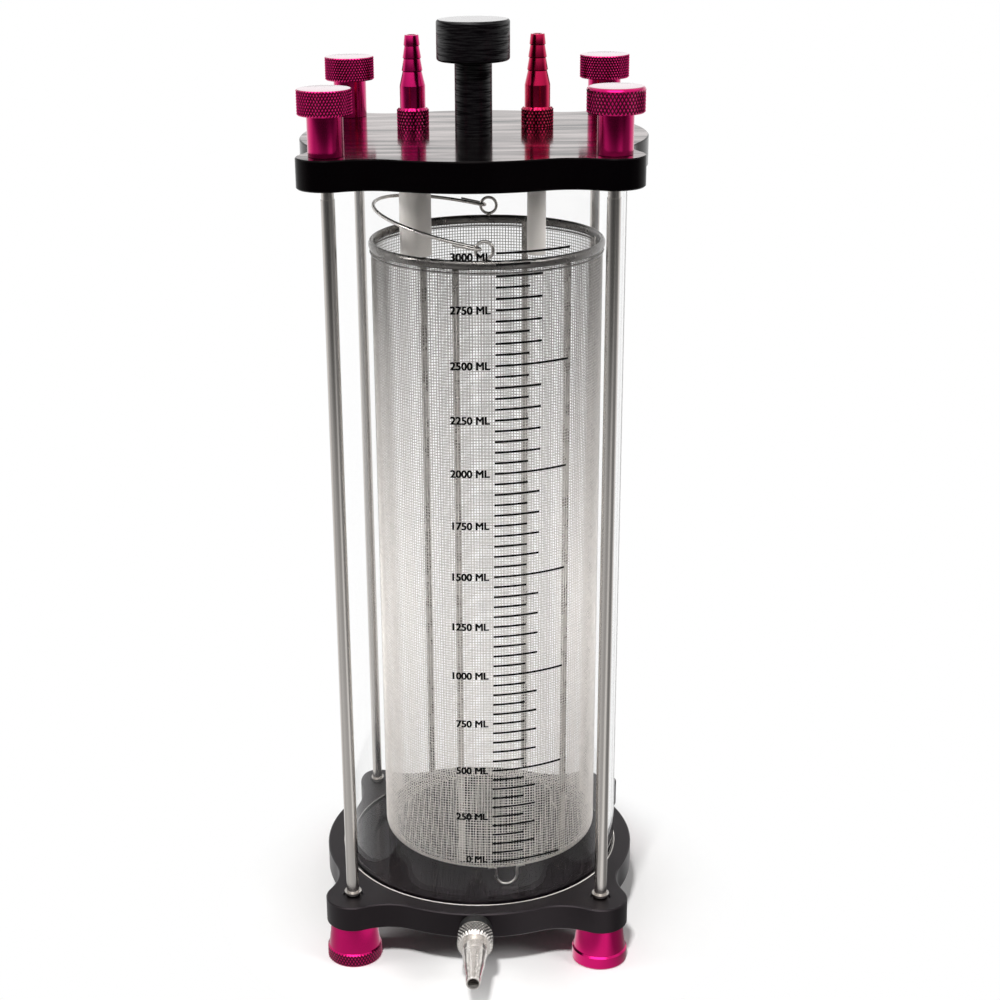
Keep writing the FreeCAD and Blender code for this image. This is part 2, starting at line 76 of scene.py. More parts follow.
class CanisterMeshSizes(bpy.types.PropertyGroup):
    pitch: length("Mesh pitch", "Distance between wires of the strainer", 1.26)
    wire: length("Mesh wire", "Diameter of the strainer's wires", 0.32)
    around: bpy.props.IntProperty(name="Upright wires", default=240, min=12,
                                  description="Upright wires round the strainer, an even number")
    wall: length("Mesh thickness", "Thickness of the woven sheet in the frame", 0.8)
    corner: length("Corner radius", "Bend between the strainer's wall and its floor", 5.0)


class CanisterKnurlSizes(bpy.types.PropertyGroup):
    """Knurls, drawn coarse so that they show in the render."""
    nut_pitch: length("Nut knurl", "Width of a diamond on three of the thumb nuts", 1.3)
    other_pitch: length("Other knurls", "Width of a diamond on the other knurled parts", 1.5)
    depth: length("Knurl depth", "Depth of the grooves on three of the thumb nuts", 0.4)
    other_depth: length("Other depth", "Depth of the grooves on the other knurled parts", 0.32)


class CanisterScaleSizes(bpy.types.PropertyGroup):
    first: length("First mark", "Height of the mark for 0 ml", 52.2)
    step: length("Step", "Height of 50 ml", 4.4535)
    left: length("Left edge", "Left end of the first mark, along the wall from its front line", 7.2)
    lean: length("Lean", "How far the left ends drift to the right up to the last mark", 2.7)
    short: length("Short mark", "Length of a mark for 50 ml", 13.8)
    medium: length("Medium mark", "Length of a mark for 100 ml", 19.1)
    long: length("Long mark", "Length of a mark for 500 ml", 31.5)
    line: length("Line", "Height of a mark's line", 0.88)
    ink: length("Ink", "Thickness of the printed ink", 0.03)
    letter: length("Letter height", "Size of the figures", 4.45)
    bold: length("Bold", "How far the thick strokes of the figures spread", 0.36)
    gap: length("Letter gap", "From a figure's right edge to the marks", 2.1)


class CanisterColours(bpy.types.PropertyGroup):
    magenta: colour("Magenta", "Dyed oxide of nuts, feet and the left barb", "#c80f66")
    crimson: colour("Crimson", "Dyed oxide of the right barb", "#c01048")
    black: colour("Black", "Dyed oxide of the plates", "#090608")
    knob: colour("Knob", "Handle", "#0b080b")
    steel: colour("Steel", "Stainless steel", "#d4cfca")
    tube: colour("Tube", "Dip tubes", "#eae4de")
    ink: colour("Ink", "Printed marks", "#0a0a0b")
    floor: colour("Floor", "Floor of the studio", "#f2f1f0")


class CanisterStudio(bpy.types.PropertyGroup):
    key: bpy.props.FloatProperty(name="Key light", default=24.0, min=0.0, unit="POWER",
                                 description="Soft light in front and above")
    side: bpy.props.FloatProperty(name="Side lights", default=6.0, min=0.0, unit="POWER",
                                  description="Soft light from either side")
    ambient: bpy.props.FloatProperty(name="Ambient", default=0.24, min=0.0,
                                     description="Even light from all round")


# Materials


def add(tree, kind, inputs=None, **settings):
    """Add a node; inputs maps a socket's name or number to a value or to another node's output."""
    node = tree.nodes.new("ShaderNode" + kind)
    for name, value in settings.items():
        setattr(node, name, value)
    for name, value in (inputs or {}).items():
        if isinstance(value, bpy.types.NodeSocket):
            tree.links.new(value, node.inputs[name])
        else:
            node.inputs[name].default_value = value
    return node


def opaque(rgb):
    return (*rgb, 1.0)


def shade(rgb, factor):
    """A darker or lighter tone of a linear colour."""
    return (*(min(1.0, share * factor) for share in rgb), 1.0)


def material(name, build):
    """The named material, made by build(tree) on first use; build returns its shader output."""
    made = bpy.data.materials.get(name)
    if made is None:
        made = bpy.data.materials.new(name)
        made.use_nodes = True
        made.node_tree.nodes.clear()
        surface = build(made.node_tree)
        add(made.node_tree, "OutputMaterial", {"Surface": surface})
    return made


def stretched_noise(tree, scales, detail=3.0):
    """Noise on Object coordinates; scales gives the turns per metre along X, Y and Z."""
    place = add(tree, "TexCoord").outputs["Object"]
    mapped = add(tree, "Mapping", {"Vector": place, "Scale": scales}, vector_type="POINT")
    return add(tree, "TexNoise", {"Vector": mapped.outputs[0], "Scale": 1.0, "Detail": detail},
               noise_dimensions="3D").outputs["Fac"]


def between(tree, factor, low, high):
    """Spread a 0 to 1 value over low to high."""
    return add(tree, "MapRange", {"Value": factor, "To Min": low, "To Max": high}).outputs[0]


def tones(tree, factor, dark, light):
    """Two colours mixed by a pattern."""
    mix = add(tree, "Mix", {"Factor": factor, "A": dark, "B": light}, data_type="RGBA")
    return mix.outputs["Result"]


def tool_marks(tree, per_metre):
    """Rings left by a lathe tool, read from the distance along the cut kept on the mesh."""
    cut = add(tree, "Attribute", attribute_name="cut").outputs["Fac"]
    turns = add(tree, "Math", {0: cut, 1: per_metre}, operation="MULTIPLY").outputs[0]
    return add(tree, "TexNoise", {"W": turns, "Scale": 1.0, "Detail": 2.0},
               noise_dimensions="1D").outputs["Fac"]


def at_heights(tree, levels):
    """1 on a part's level top faces, where the finishes paint a highlight, and else 0; a level is
    a height and how far off it still counts."""
    place = add(tree, "TexCoord").outputs["Object"]
    height = add(tree, "SeparateXYZ", {0: place}).outputs["Z"]
    found = 0.0
    for level, reach in levels:
        here = add(tree, "Math", {0: height, 1: level, 2: reach}, operation="COMPARE")
        found = add(tree, "Math", {0: here.outputs[0], 1: found}, operation="MAXIMUM").outputs[0]
    return found


def painted_groove_shade(tree, tone):
    """Darken a colour in the grooves of a knurl, as painted shade, to match the photograph; how deep
    a corner lies is kept on the mesh."""
    depth = add(tree, "Attribute", attribute_name="groove").outputs["Fac"]
    deep = add(tree, "MapRange", {"Value": depth, "From Min": 0.3, "From Max": 0.85}).outputs[0]
    return add(tree, "Mix", {"Factor": deep, "A": tone, "B": opaque((0.04, 0.04, 0.04))},
               data_type="RGBA", blend_type="MULTIPLY").outputs["Result"]


def dyed_aluminium(rgb, levels):
    """Aluminium turned on a lathe, then anodised in a bright dye: a tinted mirror under a clear
    layer of oxide, its highlights drawn out by tool rings about 0.3 mm apart. To match the
    photograph the faces at the given levels are paler, a painted highlight, and a knurl's grooves
    darker, painted shade."""
    def build(tree):
        rings = tool_marks(tree, 3300.0)
        cloud = stretched_noise(tree, (90.0, 90.0, 90.0))
        bump = add(tree, "Bump", {"Strength": 0.5, "Distance": 0.004 * MM, "Height": rings})
        # painted highlight: the level top faces are mixed three quarters of the way to pale pink, and
        # their coat reflects more
        painted_highlight_faces = at_heights(tree, levels)
        # the dye's colour, with painted shade in a knurl's grooves
        dye = painted_groove_shade(tree, tones(tree, cloud, shade(rgb, 0.9), shade(rgb, 1.2)))
        pale = add(tree, "Math", {0: painted_highlight_faces, 1: 0.75}, operation="MULTIPLY").outputs[0]
        return add(tree, "BsdfPrincipled", {
            "Base Color": tones(tree, pale, dye, opaque(linear("#fff0f6"))),
            "Metallic": 1.0,
            "Roughness": between(tree, rings, 0.14, 0.24),
            "Coat Weight": 0.7,
            "Coat Roughness": 0.12,
            "Coat IOR": between(tree, painted_highlight_faces, 1.2, 1.8),
            "Normal": bump.outputs[0],
        }).outputs[0]
    return build


def satin_black(rgb):
    """Aluminium bead blasted and anodised black. To match the photograph it is glossier within
    60 mm of the axis, inside the cylinder."""
    def build(tree):
        grain = stretched_noise(tree, (2500.0, 2500.0, 2500.0), 2.0)
        cloud = stretched_noise(tree, (25.0, 25.0, 25.0))
        place = add(tree, "TexCoord").outputs["Object"]
        level = add(tree, "VectorMath", {0: place, 1: (1.0, 1.0, 0.0)}, operation="MULTIPLY")
        across = add(tree, "VectorMath", {0: level.outputs[0]}, operation="LENGTH")
        outside = add(tree, "Math", {0: across.outputs["Value"], 1: 60 * MM},
                      operation="GREATER_THAN").outputs[0]
        relief = add(tree, "Math", {0: grain, 1: outside}, operation="MULTIPLY").outputs[0]
        bump = add(tree, "Bump", {"Strength": 0.25, "Distance": 0.01 * MM, "Height": relief})
        return add(tree, "BsdfPrincipled", {
            "Base Color": tones(tree, cloud, shade(rgb, 0.6), shade(rgb, 1.2)),
            "Roughness": between(tree, outside, 0.1, 0.38),
            "Specular IOR Level": between(tree, outside, 0.22, 0.3),
            "Specular Tint": opaque(linear("#ffeef6")),
            "Normal": bump.outputs[0],
        }).outputs[0]
    return build


def polished_black(rgb, levels):
    """Aluminium brushed along X, polished and anodised black: a dark mirror under a clear seal,
    with brush lines drawn coarse, about 1.4 mm apart, and streaks about 7 mm apart. Only the
    faces at the given levels shine, to match the photograph: the coat is kept to them, and the
    other faces reflect almost nothing, which paints shade on them."""
    def build(tree):
        brush = stretched_noise(tree, (14.0, 700.0, 14.0), 4.0)
        streak = stretched_noise(tree, (16.0, 150.0, 16.0), 4.0)
        streaks = add(tree, "MapRange", {"Value": streak, "From Min": 0.35, "From Max": 0.65}).outputs[0]
        cloud = stretched_noise(tree, (40.0, 160.0, 40.0))
        bump = add(tree, "Bump", {"Strength": 0.35, "Distance": 0.02 * MM, "Height": brush})
        # painted sheen and shade: the coat only on the level top, and the other faces barely reflect
        top = at_heights(tree, levels)
        shine = between(tree, streaks, 0.12, 0.3)
        coat = between(tree, streaks, 0.0, 1.0)
        return add(tree, "BsdfPrincipled", {
            "Base Color": tones(tree, cloud, shade(rgb, 0.2), shade(rgb, 0.5)),
            "Roughness": between(tree, brush, 0.08, 0.2),
            "Specular IOR Level": add(tree, "MapRange", {"Value": top, "To Min": 0.05,
                                                         "To Max": shine}).outputs[0],
            "Specular Tint": opaque(linear("#fff0ee")),
            "Coat Weight": add(tree, "Math", {0: top, 1: coat}, operation="MULTIPLY").outputs[0],
            "Coat IOR": 1.38,
            "Coat Roughness": 0.08,
            "Coat Tint": opaque(linear("#fff2f0")),
            "Normal": bump.outputs[0],
        }).outputs[0]
    return build


def turned_black(rgb, levels):
    """Black acetal turned on a lathe: low gloss, with tool rings drawn coarse, about 0.6 mm
    apart. The faces at the given levels are bright, to match the photograph: a painted highlight,
    pale grey, metallic and coated."""
    def build(tree):
        rings = stretched_noise(tree, (130.0, 130.0, 1700.0), 3.0)
        top = at_heights(tree, levels)
        # painted highlight: the level top is mixed to pale grey, made metallic and coated
        bright = add(tree, "Math", {0: top, 1: 0.6}, operation="MULTIPLY").outputs[0]
        bump = add(tree, "Bump", {"Strength": 0.9, "Distance": 0.1 * MM, "Height": rings})
        return add(tree, "BsdfPrincipled", {
            "Base Color": tones(tree, bright, tones(tree, rings, shade(rgb, 0.2), shade(rgb, 1.0)),
                                opaque(linear("#b4aeb0"))),
            "Metallic": bright,
            "Roughness": between(tree, rings, 0.2, 0.4),
            "Specular IOR Level": add(tree, "MapRange", {
                "Value": rings, "From Min": 0.4, "From Max": 0.6, "To Min": 0.04,
                "To Max": 0.4}).outputs[0],
            "Coat Weight": top,
            "Coat IOR": 1.9,
            "Coat Roughness": 0.15,
            "Normal": bump.outputs[0],
        }).outputs[0]
    return build


def drawn_steel(rgb):
    """Stainless rod ground and polished along its length: grey mirror with fine long lines."""
    def build(tree):
        lines = stretched_noise(tree, (2600.0, 2600.0, 18.0), 2.0)
        cloud = stretched_noise(tree, (60.0, 60.0, 12.0))
        bump = add(tree, "Bump", {"Strength": 0.2, "Distance": 0.006 * MM, "Height": lines})
        return add(tree, "BsdfPrincipled", {
            "Base Color": tones(tree, cloud, shade(rgb, 0.8), shade(rgb, 1.0)),
            "Metallic": 1.0,
            "Roughness": between(tree, lines, 0.16, 0.28),
            "Normal": bump.outputs[0],
        }).outputs[0]
    return build


def turned_steel(rgb):
    """Stainless bar turned on a lathe: bright, with tool rings about 0.25 mm apart, and painted shade in
    a knurl's grooves.
    """
    def build(tree):
        rings = tool_marks(tree, 4000.0)
        bump = add(tree, "Bump", {"Strength": 0.5, "Distance": 0.004 * MM, "Height": rings})
        return add(tree, "BsdfPrincipled", {
            "Base Color": painted_groove_shade(tree, tones(tree, rings, shade(rgb, 0.95), shade(rgb, 1.3))),
            "Metallic": 0.8,
            "Roughness": between(tree, rings, 0.12, 0.22),
            "Normal": bump.outputs[0],
        }).outputs[0]
    return build


def bright_wire(rgb):
    """Stainless spring wire and strip, drawn and tumbled: bright, with cloudy tones."""
    def build(tree):
        cloud = stretched_noise(tree, (150.0, 150.0, 150.0))
        pits = stretched_noise(tree, (1800.0, 1800.0, 1800.0), 2.0)
        bump = add(tree, "Bump", {"Strength": 0.2, "Distance": 0.01 * MM, "Height": pits})
        return add(tree, "BsdfPrincipled", {
            "Base Color": tones(tree, cloud, shade(rgb, 0.62), shade(rgb, 1.0)),
            "Metallic": 1.0,
            "Roughness": between(tree, cloud, 0.2, 0.36),
            "Normal": bump.outputs[0],
        }).outputs[0]
    return build


def woven_wire(rgb):
    """Plain-weave stainless cloth: each wire is its own bright, slightly uneven strand. To
    match the photograph its tone darkens from the floor up to the rim: a painted highlight
    low down, brighter than the steel, and painted shade up at the rim."""
    def build(tree):
        strand = stretched_noise(tree, (300.0, 300.0, 700.0), 2.0)
        place = add(tree, "TexCoord").outputs["Object"]
        height = add(tree, "SeparateXYZ", {0: place}).outputs["Z"]
        upwards = add(tree, "MapRange", {"Value": height, "From Min": 45 * MM,
                                         "From Max": 310 * MM}).outputs[0]
        # painted highlight low down: up to 1.4 times the steel's tone
        steel = tones(tree, strand, shade(rgb, 0.95), shade(rgb, 1.4))
        # painted shade up at the rim
        painted_shade_tone = tones(tree, strand, shade(rgb, 0.45), shade(rgb, 0.8))
        return add(tree, "BsdfPrincipled", {
            "Base Color": tones(tree, upwards, steel, painted_shade_tone),
            "Metallic": 0.93,
            "Roughness": between(tree, strand, 0.24, 0.4),
        }).outputs[0]
    return build


def clear_acrylic(tree):
    """Extruded acrylic tube, polished: clear, with faint drawing lines along its length. Lamps
    shine straight through it, so that what stands inside is lit. Its IOR is set below acrylic's
    1.49, which keeps its edges as pale as the photograph's."""
    lines = stretched_noise(tree, (220.0, 220.0, 3.0), 2.0)
    bump = add(tree, "Bump", {"Strength": 0.06, "Distance": 0.05 * MM, "Height": lines})
    glass = add(tree, "BsdfPrincipled", {
        "Base Color": opaque((1.0, 1.0, 1.0)),
        "Roughness": 0.01,
        "IOR": 1.25,
        "Transmission Weight": 1.0,
        "Normal": bump.outputs[0],
    })
    open_way = add(tree, "BsdfTransparent", {"Color": opaque(linear("#f8f8f8"))})
    shadow = add(tree, "LightPath").outputs["Is Shadow Ray"]
    return add(tree, "MixShader", {0: shadow, 1: glass.outputs[0], 2: open_way.outputs[0]}).outputs[0]


def grey_tube(rgb):
    """Silicone hose: milky grey, soft and slightly waxy."""
    def build(tree):
        cloud = stretched_noise(tree, (120.0, 120.0, 50.0))
        return add(tree, "BsdfPrincipled", {
            "Base Color": tones(tree, cloud, shade(rgb, 0.95), shade(rgb, 1.05)),
            "Roughness": between(tree, cloud, 0.45, 0.55),
            "Subsurface Weight": 0.3,
            "Subsurface Scale": 3 * MM,
            "Subsurface Radius": (1.0, 1.0, 1.0),
        }).outputs[0]
    return build


def black_rubber(tree):
    """Moulded nitrile rubber: matt black with a fine skin."""
    skin = stretched_noise(tree, (1500.0, 1500.0, 1500.0), 2.0)
    bump = add(tree, "Bump", {"Strength": 0.3, "Distance": 0.02 * MM, "Height": skin})
    return add(tree, "BsdfPrincipled", {
        "Base Color": tones(tree, skin, opaque(linear("#080808")), opaque(linear("#161515"))),
        "Roughness": between(tree, skin, 0.6, 0.75),
        "Normal": bump.outputs[0],
    }).outputs[0]


def screen_ink(rgb):
    """Screen-printed epoxy ink: flat black, a little thin in places."""
    def build(tree):
        cover = stretched_noise(tree, (900.0, 900.0, 900.0), 2.0)
        return add(tree, "BsdfPrincipled", {
            "Base Color": tones(tree, cover, shade(rgb, 0.3), shade(rgb, 0.9)),
            "Roughness": between(tree, cover, 0.4, 0.55),
            "Specular IOR Level": 0.15,
        }).outputs[0]
    return build


# Mesh work


def finished(bm, name, body, finish, replaced=(), smooth_below=None):
    """Turn a bmesh into a piece that rides on a body, and free the bmesh."""
    mesh = bpy.data.meshes.new(name)
    bm.to_mesh(mesh)
    bm.free()
    mesh.materials.append(finish)
    if smooth_below is not None:
        mesh.shade_smooth()
        mesh.set_sharp_from_angle(angle=math.radians(smooth_below))
    piece = bpy.data.objects.new(name, mesh)
    bpy.context.scene.collection.objects.link(piece)
    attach(piece, body)
    if replaced:
        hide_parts(*replaced)
    return piece


def dress(nodes, finish):
    """Give CAD nodes a finish in place of their plain colour."""
    for name in nodes:
        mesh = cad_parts[name].data
        mesh.materials.clear()
        mesh.materials.append(finish)


def spun(profile, steps, closed):
    """Solid turned about Z from (radius, height, rounding) points; a closed profile is a ring's
    section, and an open one starts and ends on the axis."""
    bm = bmesh.new()
    corners = [bm.verts.new((radius, 0.0, height)) for radius, height, _ in profile]
    for start, end in zip(corners, corners[1:]):
        bm.edges.new((start, end))
    if closed:
        bm.edges.new((corners[-1], corners[0]))
    for corner, (_, _, rounding) in zip(corners, profile):
        if rounding:
            bmesh.ops.bevel(bm, geom=[corner], offset=rounding, offset_type="OFFSET", segments=3,
                            profile=0.5, affect="VERTICES", material=-1)
    bmesh.ops.spin(bm, geom=bm.verts[:] + bm.edges[:], cent=(0, 0, 0), axis=(0, 0, 1),
                   dvec=(0, 0, 0), angle=FULL_TURN, steps=steps, use_merge=True,
                   use_duplicate=False)
    bmesh.ops.remove_doubles(bm, verts=bm.verts[:], dist=0.0005 * MM)
    bmesh.ops.recalc_face_normals(bm, faces=bm.faces[:])
    return bm


def band(radius, bottom, top, pitch):
    """Profile points down the height of a knurled band, half a diamond apart, bottom first."""
    rows = knurl_rows(bottom, top, pitch)
    return [(radius, bottom + (top - bottom) * row / rows, 0) for row in range(rows + 1)]


def knurl_rows(bottom, top, pitch):
    """Half diamonds up a band; the grooves lie at 30 degrees to the axis."""
    half_diamond = pitch / math.tan(math.radians(30)) / 2
    return max(4, round((top - bottom) / half_diamond))


def knurl_steps(radius, pitch):
    """Half diamonds round a band."""
    return 2 * round(FULL_TURN * radius / pitch)


def press_knurl(bm, radius, bottom, top, pitch, depth):
    """Press crossed grooves into a spun band: every second corner of its grid goes in."""
    rows = knurl_rows(bottom, top, pitch)
    row_height = (top - bottom) / rows
    step = FULL_TURN / knurl_steps(radius, pitch)
    # corners pressed in are marked, for the painted shade in the grooves
    groove = bm.verts.layers.float.new("groove")
    low = []
    for vert in bm.verts:
        x, y, z = vert.co
        on_band = abs(math.hypot(x, y) - radius) < 0.01 * MM
        if on_band and bottom - 0.01 * MM < z < top + 0.01 * MM:
            row = round((z - bottom) / row_height)
            column = round(math.atan2(y, x) / step)
            if (row + column) % 2 == 0:
                low.append(vert)
    for vert in low:
        shrink = 1 - depth / radius
        vert.co = (vert.co.x * shrink, vert.co.y * shrink, vert.co.z)
        vert[groove] = 1.0
    bmesh.ops.connect_verts(bm, verts=low)


def keep_cut_length(bm):
    """Keep on each corner the distance along the lathe cut, which the tool marks follow."""
    layer = bm.verts.layers.float.new("cut")
    for vert in bm.verts:
        vert[layer] = math.hypot(vert.co.x, vert.co.y) + vert.co.z


def moved(bm, offset, turn=None):
    if turn is not None:
        bmesh.ops.transform(bm, matrix=turn, verts=bm.verts[:])
    bmesh.ops.translate(bm, verts=bm.verts[:], vec=offset)


def middle(node):
    """(centre, lowest corner, highest corner) of a CAD node's box."""
    low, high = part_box(node)
    return (low + high) / 2, low, high


def top_of(node):
    """Level of a CAD node's top face, for at_heights."""
    return middle(node)[2].z, 0.05 * MM


def style():
    return bpy.context.scene.canister_colours


def magenta_finish():
    """Finish that the thumb nuts and the feet share; it is paler on the nuts' tops, a painted highlight.
    """
    tops = sorted({top_of("thumb_nut_" + corner) for corner in CORNERS})
    return material("magenta_anodised_aluminium", dyed_aluminium(tuple(style().magenta), tops))


# Pieces


class CanisterStep(bpy.types.Operator):
    """Base of the steps that dress the canister."""
    bl_options = {"REGISTER", "UNDO"}

    def execute(self, context):
        self.build(context)
        return {"FINISHED"}


class CANISTER_OT_plates(CanisterStep):
    """Finish the base plate and the lid plate."""
    bl_idname = "canister.plates"
    bl_label = "Plates"

    groove_radius = 63.2 * MM

    def build(self, context):
        black = tuple(style().black)
        dress(["base_plate"], material("satin_black_anodised_aluminium", satin_black(black)))
        lid = polished_black(black, [top_of("lid_plate")])
        dress(["lid_plate"], material("polished_black_anodised_aluminium", lid))
        self.add_seat_highlight()

    def add_seat_highlight(self):
        """Thin bright steel ring round the cylinder's seat at the groove's corner, put there as a
        painted highlight.
        """
        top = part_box("base_plate")[1].z
        reach = self.groove_radius
        bm = spun([(reach, top - 0.2 * MM, 0), (reach, top + 0.22 * MM, 0.05 * MM),
                   (reach + 0.42 * MM, top + 0.03 * MM, 0)], 192, closed=True)
        keep_cut_length(bm)
        steel = material("turned_stainless_bar", turned_steel(tuple(style().steel)))
        finished(bm, "seat_edge", "canister", steel, smooth_below=20)


class CANISTER_OT_clear_cylinder(CanisterStep):
    """Finish the clear cylinder."""
    bl_idname = "canister.clear_cylinder"
    bl_label = "Clear cylinder"

    def build(self, context):
        dress(["clear_cylinder"], material("clear_extruded_acrylic", clear_acrylic))


class CANISTER_OT_seals(CanisterStep):
    """Finish the two gaskets and the nozzle's washer."""
    bl_idname = "canister.seals"
    bl_label = "Seals"

    def build(self, context):
        rubber = material("black_moulded_rubber", black_rubber)
        dress(["base_gasket", "lid_gasket", "nozzle_washer"], rubber)


class CANISTER_OT_scale(CanisterStep):
    """Print the marks and figures on the clear cylinder."""
    bl_idname = "canister.scale"
    bl_label = "Printed scale"

    marks = 60                      # steps of 50 ml up to 3000 ml
    nudge = {0: 1.2 * MM, 60: -1.6 * MM}

    def build(self, context):
        sizes = context.scene.canister_scale
        self.ink = material("black_screen_ink", screen_ink(tuple(style().ink)))
        _, low, high = middle("clear_cylinder")
        self.radius = (high.x - low.x) / 2
        self.print_marks(sizes)
        self.print_figures(sizes)

    def left_end(self, sizes, mark):
        return sizes.left + sizes.lean * mark / self.marks

    def print_marks(self, sizes):
        """Each line is a small block spun a few degrees round the wall."""
        bm = bmesh.new()
        for mark in range(self.marks + 1):
            reach = sizes.long if mark % 10 == 0 else sizes.medium if mark % 2 == 0 else sizes.short
            start = self.left_end(sizes, mark) / self.radius
            block = bmesh.ops.create_grid(bm, x_segments=1, y_segments=1, size=0.5)["verts"]
            bmesh.ops.scale(bm, verts=block, vec=(sizes.ink, sizes.line, 1.0))
            bmesh.ops.rotate(bm, verts=block, cent=(0, 0, 0),
                             matrix=Matrix.Rotation(math.radians(90), 3, "X"))
            height = sizes.first + mark * sizes.step
            out = self.radius + sizes.ink / 2
            bmesh.ops.translate(bm, verts=block, vec=(out, 0.0, height))
            bmesh.ops.rotate(bm, verts=block, cent=(0, 0, 0),
                             matrix=Matrix.Rotation(start - FULL_TURN / 4, 3, "Z"))
            section = list({face for vert in block for face in vert.link_faces})
            bmesh.ops.spin(bm, geom=block + section, cent=(0, 0, 0), axis=(0, 0, 1),
                           dvec=(0, 0, 0), angle=reach / self.radius, steps=12,
                           use_merge=False, use_duplicate=False)
        bmesh.ops.recalc_face_normals(bm, faces=bm.faces[:])
        finished(bm, "scale_marks", "canister", self.ink, smooth_below=30)

    def print_figures(self, sizes):
        """Figures are made as flat text and then wrapped onto the wall."""
        bm = bmesh.new()
        for mark in range(0, self.marks + 1, 5):
            text = bpy.data.curves.new("figure", "FONT")
            text.body = "%d ML" % (mark * 50)
            text.size = sizes.letter
            text.align_x = "RIGHT"
            text.align_y = "CENTER"
            text.extrude = sizes.ink / 2
            text.resolution_u = 3
            holder = bpy.data.objects.new("figure", text)
            flat = bpy.data.meshes.new_from_object(holder)
            right = self.left_end(sizes, mark) - sizes.gap
            # the first figure stands a little above its mark, and the last a little below
            height = sizes.first + mark * sizes.step + self.nudge.get(mark, -0.1 * MM)
            for right_strike, up_strike in ((-0.5, -0.3), (-0.5, 0.3), (0.5, -0.3), (0.5, 0.3)):
                copy = flat.copy()
                for vert in copy.vertices:
                    angle = (vert.co.x + right + right_strike * sizes.bold) / self.radius
                    out = self.radius + sizes.ink / 2 + vert.co.z
                    vert.co = (out * math.sin(angle), -out * math.cos(angle),
                               height + vert.co.y + up_strike * sizes.bold)
                bm.from_mesh(copy)
                bpy.data.meshes.remove(copy)
            bpy.data.objects.remove(holder)
            bpy.data.curves.remove(text)
            bpy.data.meshes.remove(flat)
        finished(bm, "scale_figures", "canister", self.ink)


class CANISTER_OT_tie_rods(CanisterStep):
    """Finish the tie rods and the collars at their feet."""
    bl_idname = "canister.tie_rods"
    bl_label = "Tie rods"

    def build(self, context):
        steel = material("ground_stainless_rod", drawn_steel(tuple(style().steel)))
        dress(["tie_rod_" + corner for corner in CORNERS], steel)
        dress(["rod_collar_" + corner for corner in CORNERS], steel)


class CANISTER_OT_thumb_nuts(CanisterStep):
    """Make the four knurled thumb nuts."""
    bl_idname = "canister.thumb_nuts"
    bl_label = "Thumb nuts"

    shank_radius = 7.0 * MM
    shank_height = 15.5 * MM
    bore_radius = 2.55 * MM
    bore_depth = 15.45 * MM
    edge = 0.5 * MM

    def build(self, context):
        sizes = context.scene.canister_knurls
        finish = magenta_finish()
        for corner in CORNERS:
            node = "thumb_nut_" + corner
            centre, low, high = middle(node)
            radius = (high.x - low.x) / 2
            height = high.z - low.z
            odd = corner == "front_right"
            pitch = sizes.other_pitch if odd else sizes.nut_pitch
            depth = sizes.other_depth if odd else sizes.depth
            rim = 1.4 * MM if odd else self.edge
            bottom, top = self.shank_height + self.edge, height - rim
            profile = [
                (0, self.bore_depth, 0), (self.bore_radius, self.bore_depth, 0),
                (self.bore_radius, 0, 0), (self.shank_radius, 0, 0.15 * MM),
                (self.shank_radius, self.shank_height, 0),
                (radius - self.edge, self.shank_height, 0),
                *band(radius, bottom, top, pitch),
            ]
            if odd:
                profile[-1] = (radius, top, 0)
                for turn in range(15, 91, 15):
                    angle = math.radians(turn)
                    profile.append((radius - rim * (1 - math.cos(angle)),
                                    top + rim * math.sin(angle), 0))
            else:
                profile.append((radius - rim, height, 0.1 * MM))
            profile.append((0, height, 0))
            bm = spun(profile, knurl_steps(radius, pitch), closed=False)
            press_knurl(bm, radius, bottom, top, pitch, depth)
            keep_cut_length(bm)
            moved(bm, (centre.x, centre.y, low.z))
            finished(bm, "knurled_nut_" + corner, "nut_" + corner, finish,
                     [node], smooth_below=20)


class CANISTER_OT_feet(CanisterStep):
    """Make the four flared feet."""
    bl_idname = "canister.feet"
    bl_label = "Feet"

    rim_height = 5.6 * MM
    ledge = 0.8 * MM
    top_radius = 10.0 * MM
    bore_radius = 2.8 * MM
    bore_floor = 6.0 * MM
    edge = 0.6 * MM

    def build(self, context):
        sizes = context.scene.canister_knurls
        finish = magenta_finish()
        for corner in CORNERS:
            node = "foot_" + corner
            centre, low, high = middle(node)
            radius = (high.x - low.x) / 2
            height = high.z
            plain = corner == "front_right"
            bottom, top = self.edge, self.rim_height
            rim = [(radius, bottom, 0), (radius, top, 0)] if plain else band(
                radius, bottom, top, sizes.other_pitch)
            profile = [
                (0, 0, 0), (radius - self.edge, 0, 0), *rim,
                (radius - self.ledge, self.rim_height + self.ledge, 0.15 * MM),
                (self.top_radius, height, 0.2 * MM),
                (self.bore_radius, height, 0), (self.bore_radius, self.bore_floor, 0),
                (0, self.bore_floor, 0),
            ]
            bm = spun(profile, knurl_steps(radius, sizes.other_pitch), closed=False)
            if not plain:
                press_knurl(bm, radius, bottom, top, sizes.other_pitch, sizes.other_depth)
            keep_cut_length(bm)
            moved(bm, (centre.x, centre.y, 0))
            finished(bm, "flared_foot_" + corner, "canister", finish,
                     [node], smooth_below=20)


class CANISTER_OT_handle(CanisterStep):
    """Finish the lid's handle."""
    bl_idname = "canister.handle"
    bl_label = "Handle"

    def build(self, context):
        knob = turned_black(tuple(style().knob), [top_of("lid_handle")])
        dress(["lid_handle"], material("turned_black_acetal", knob))


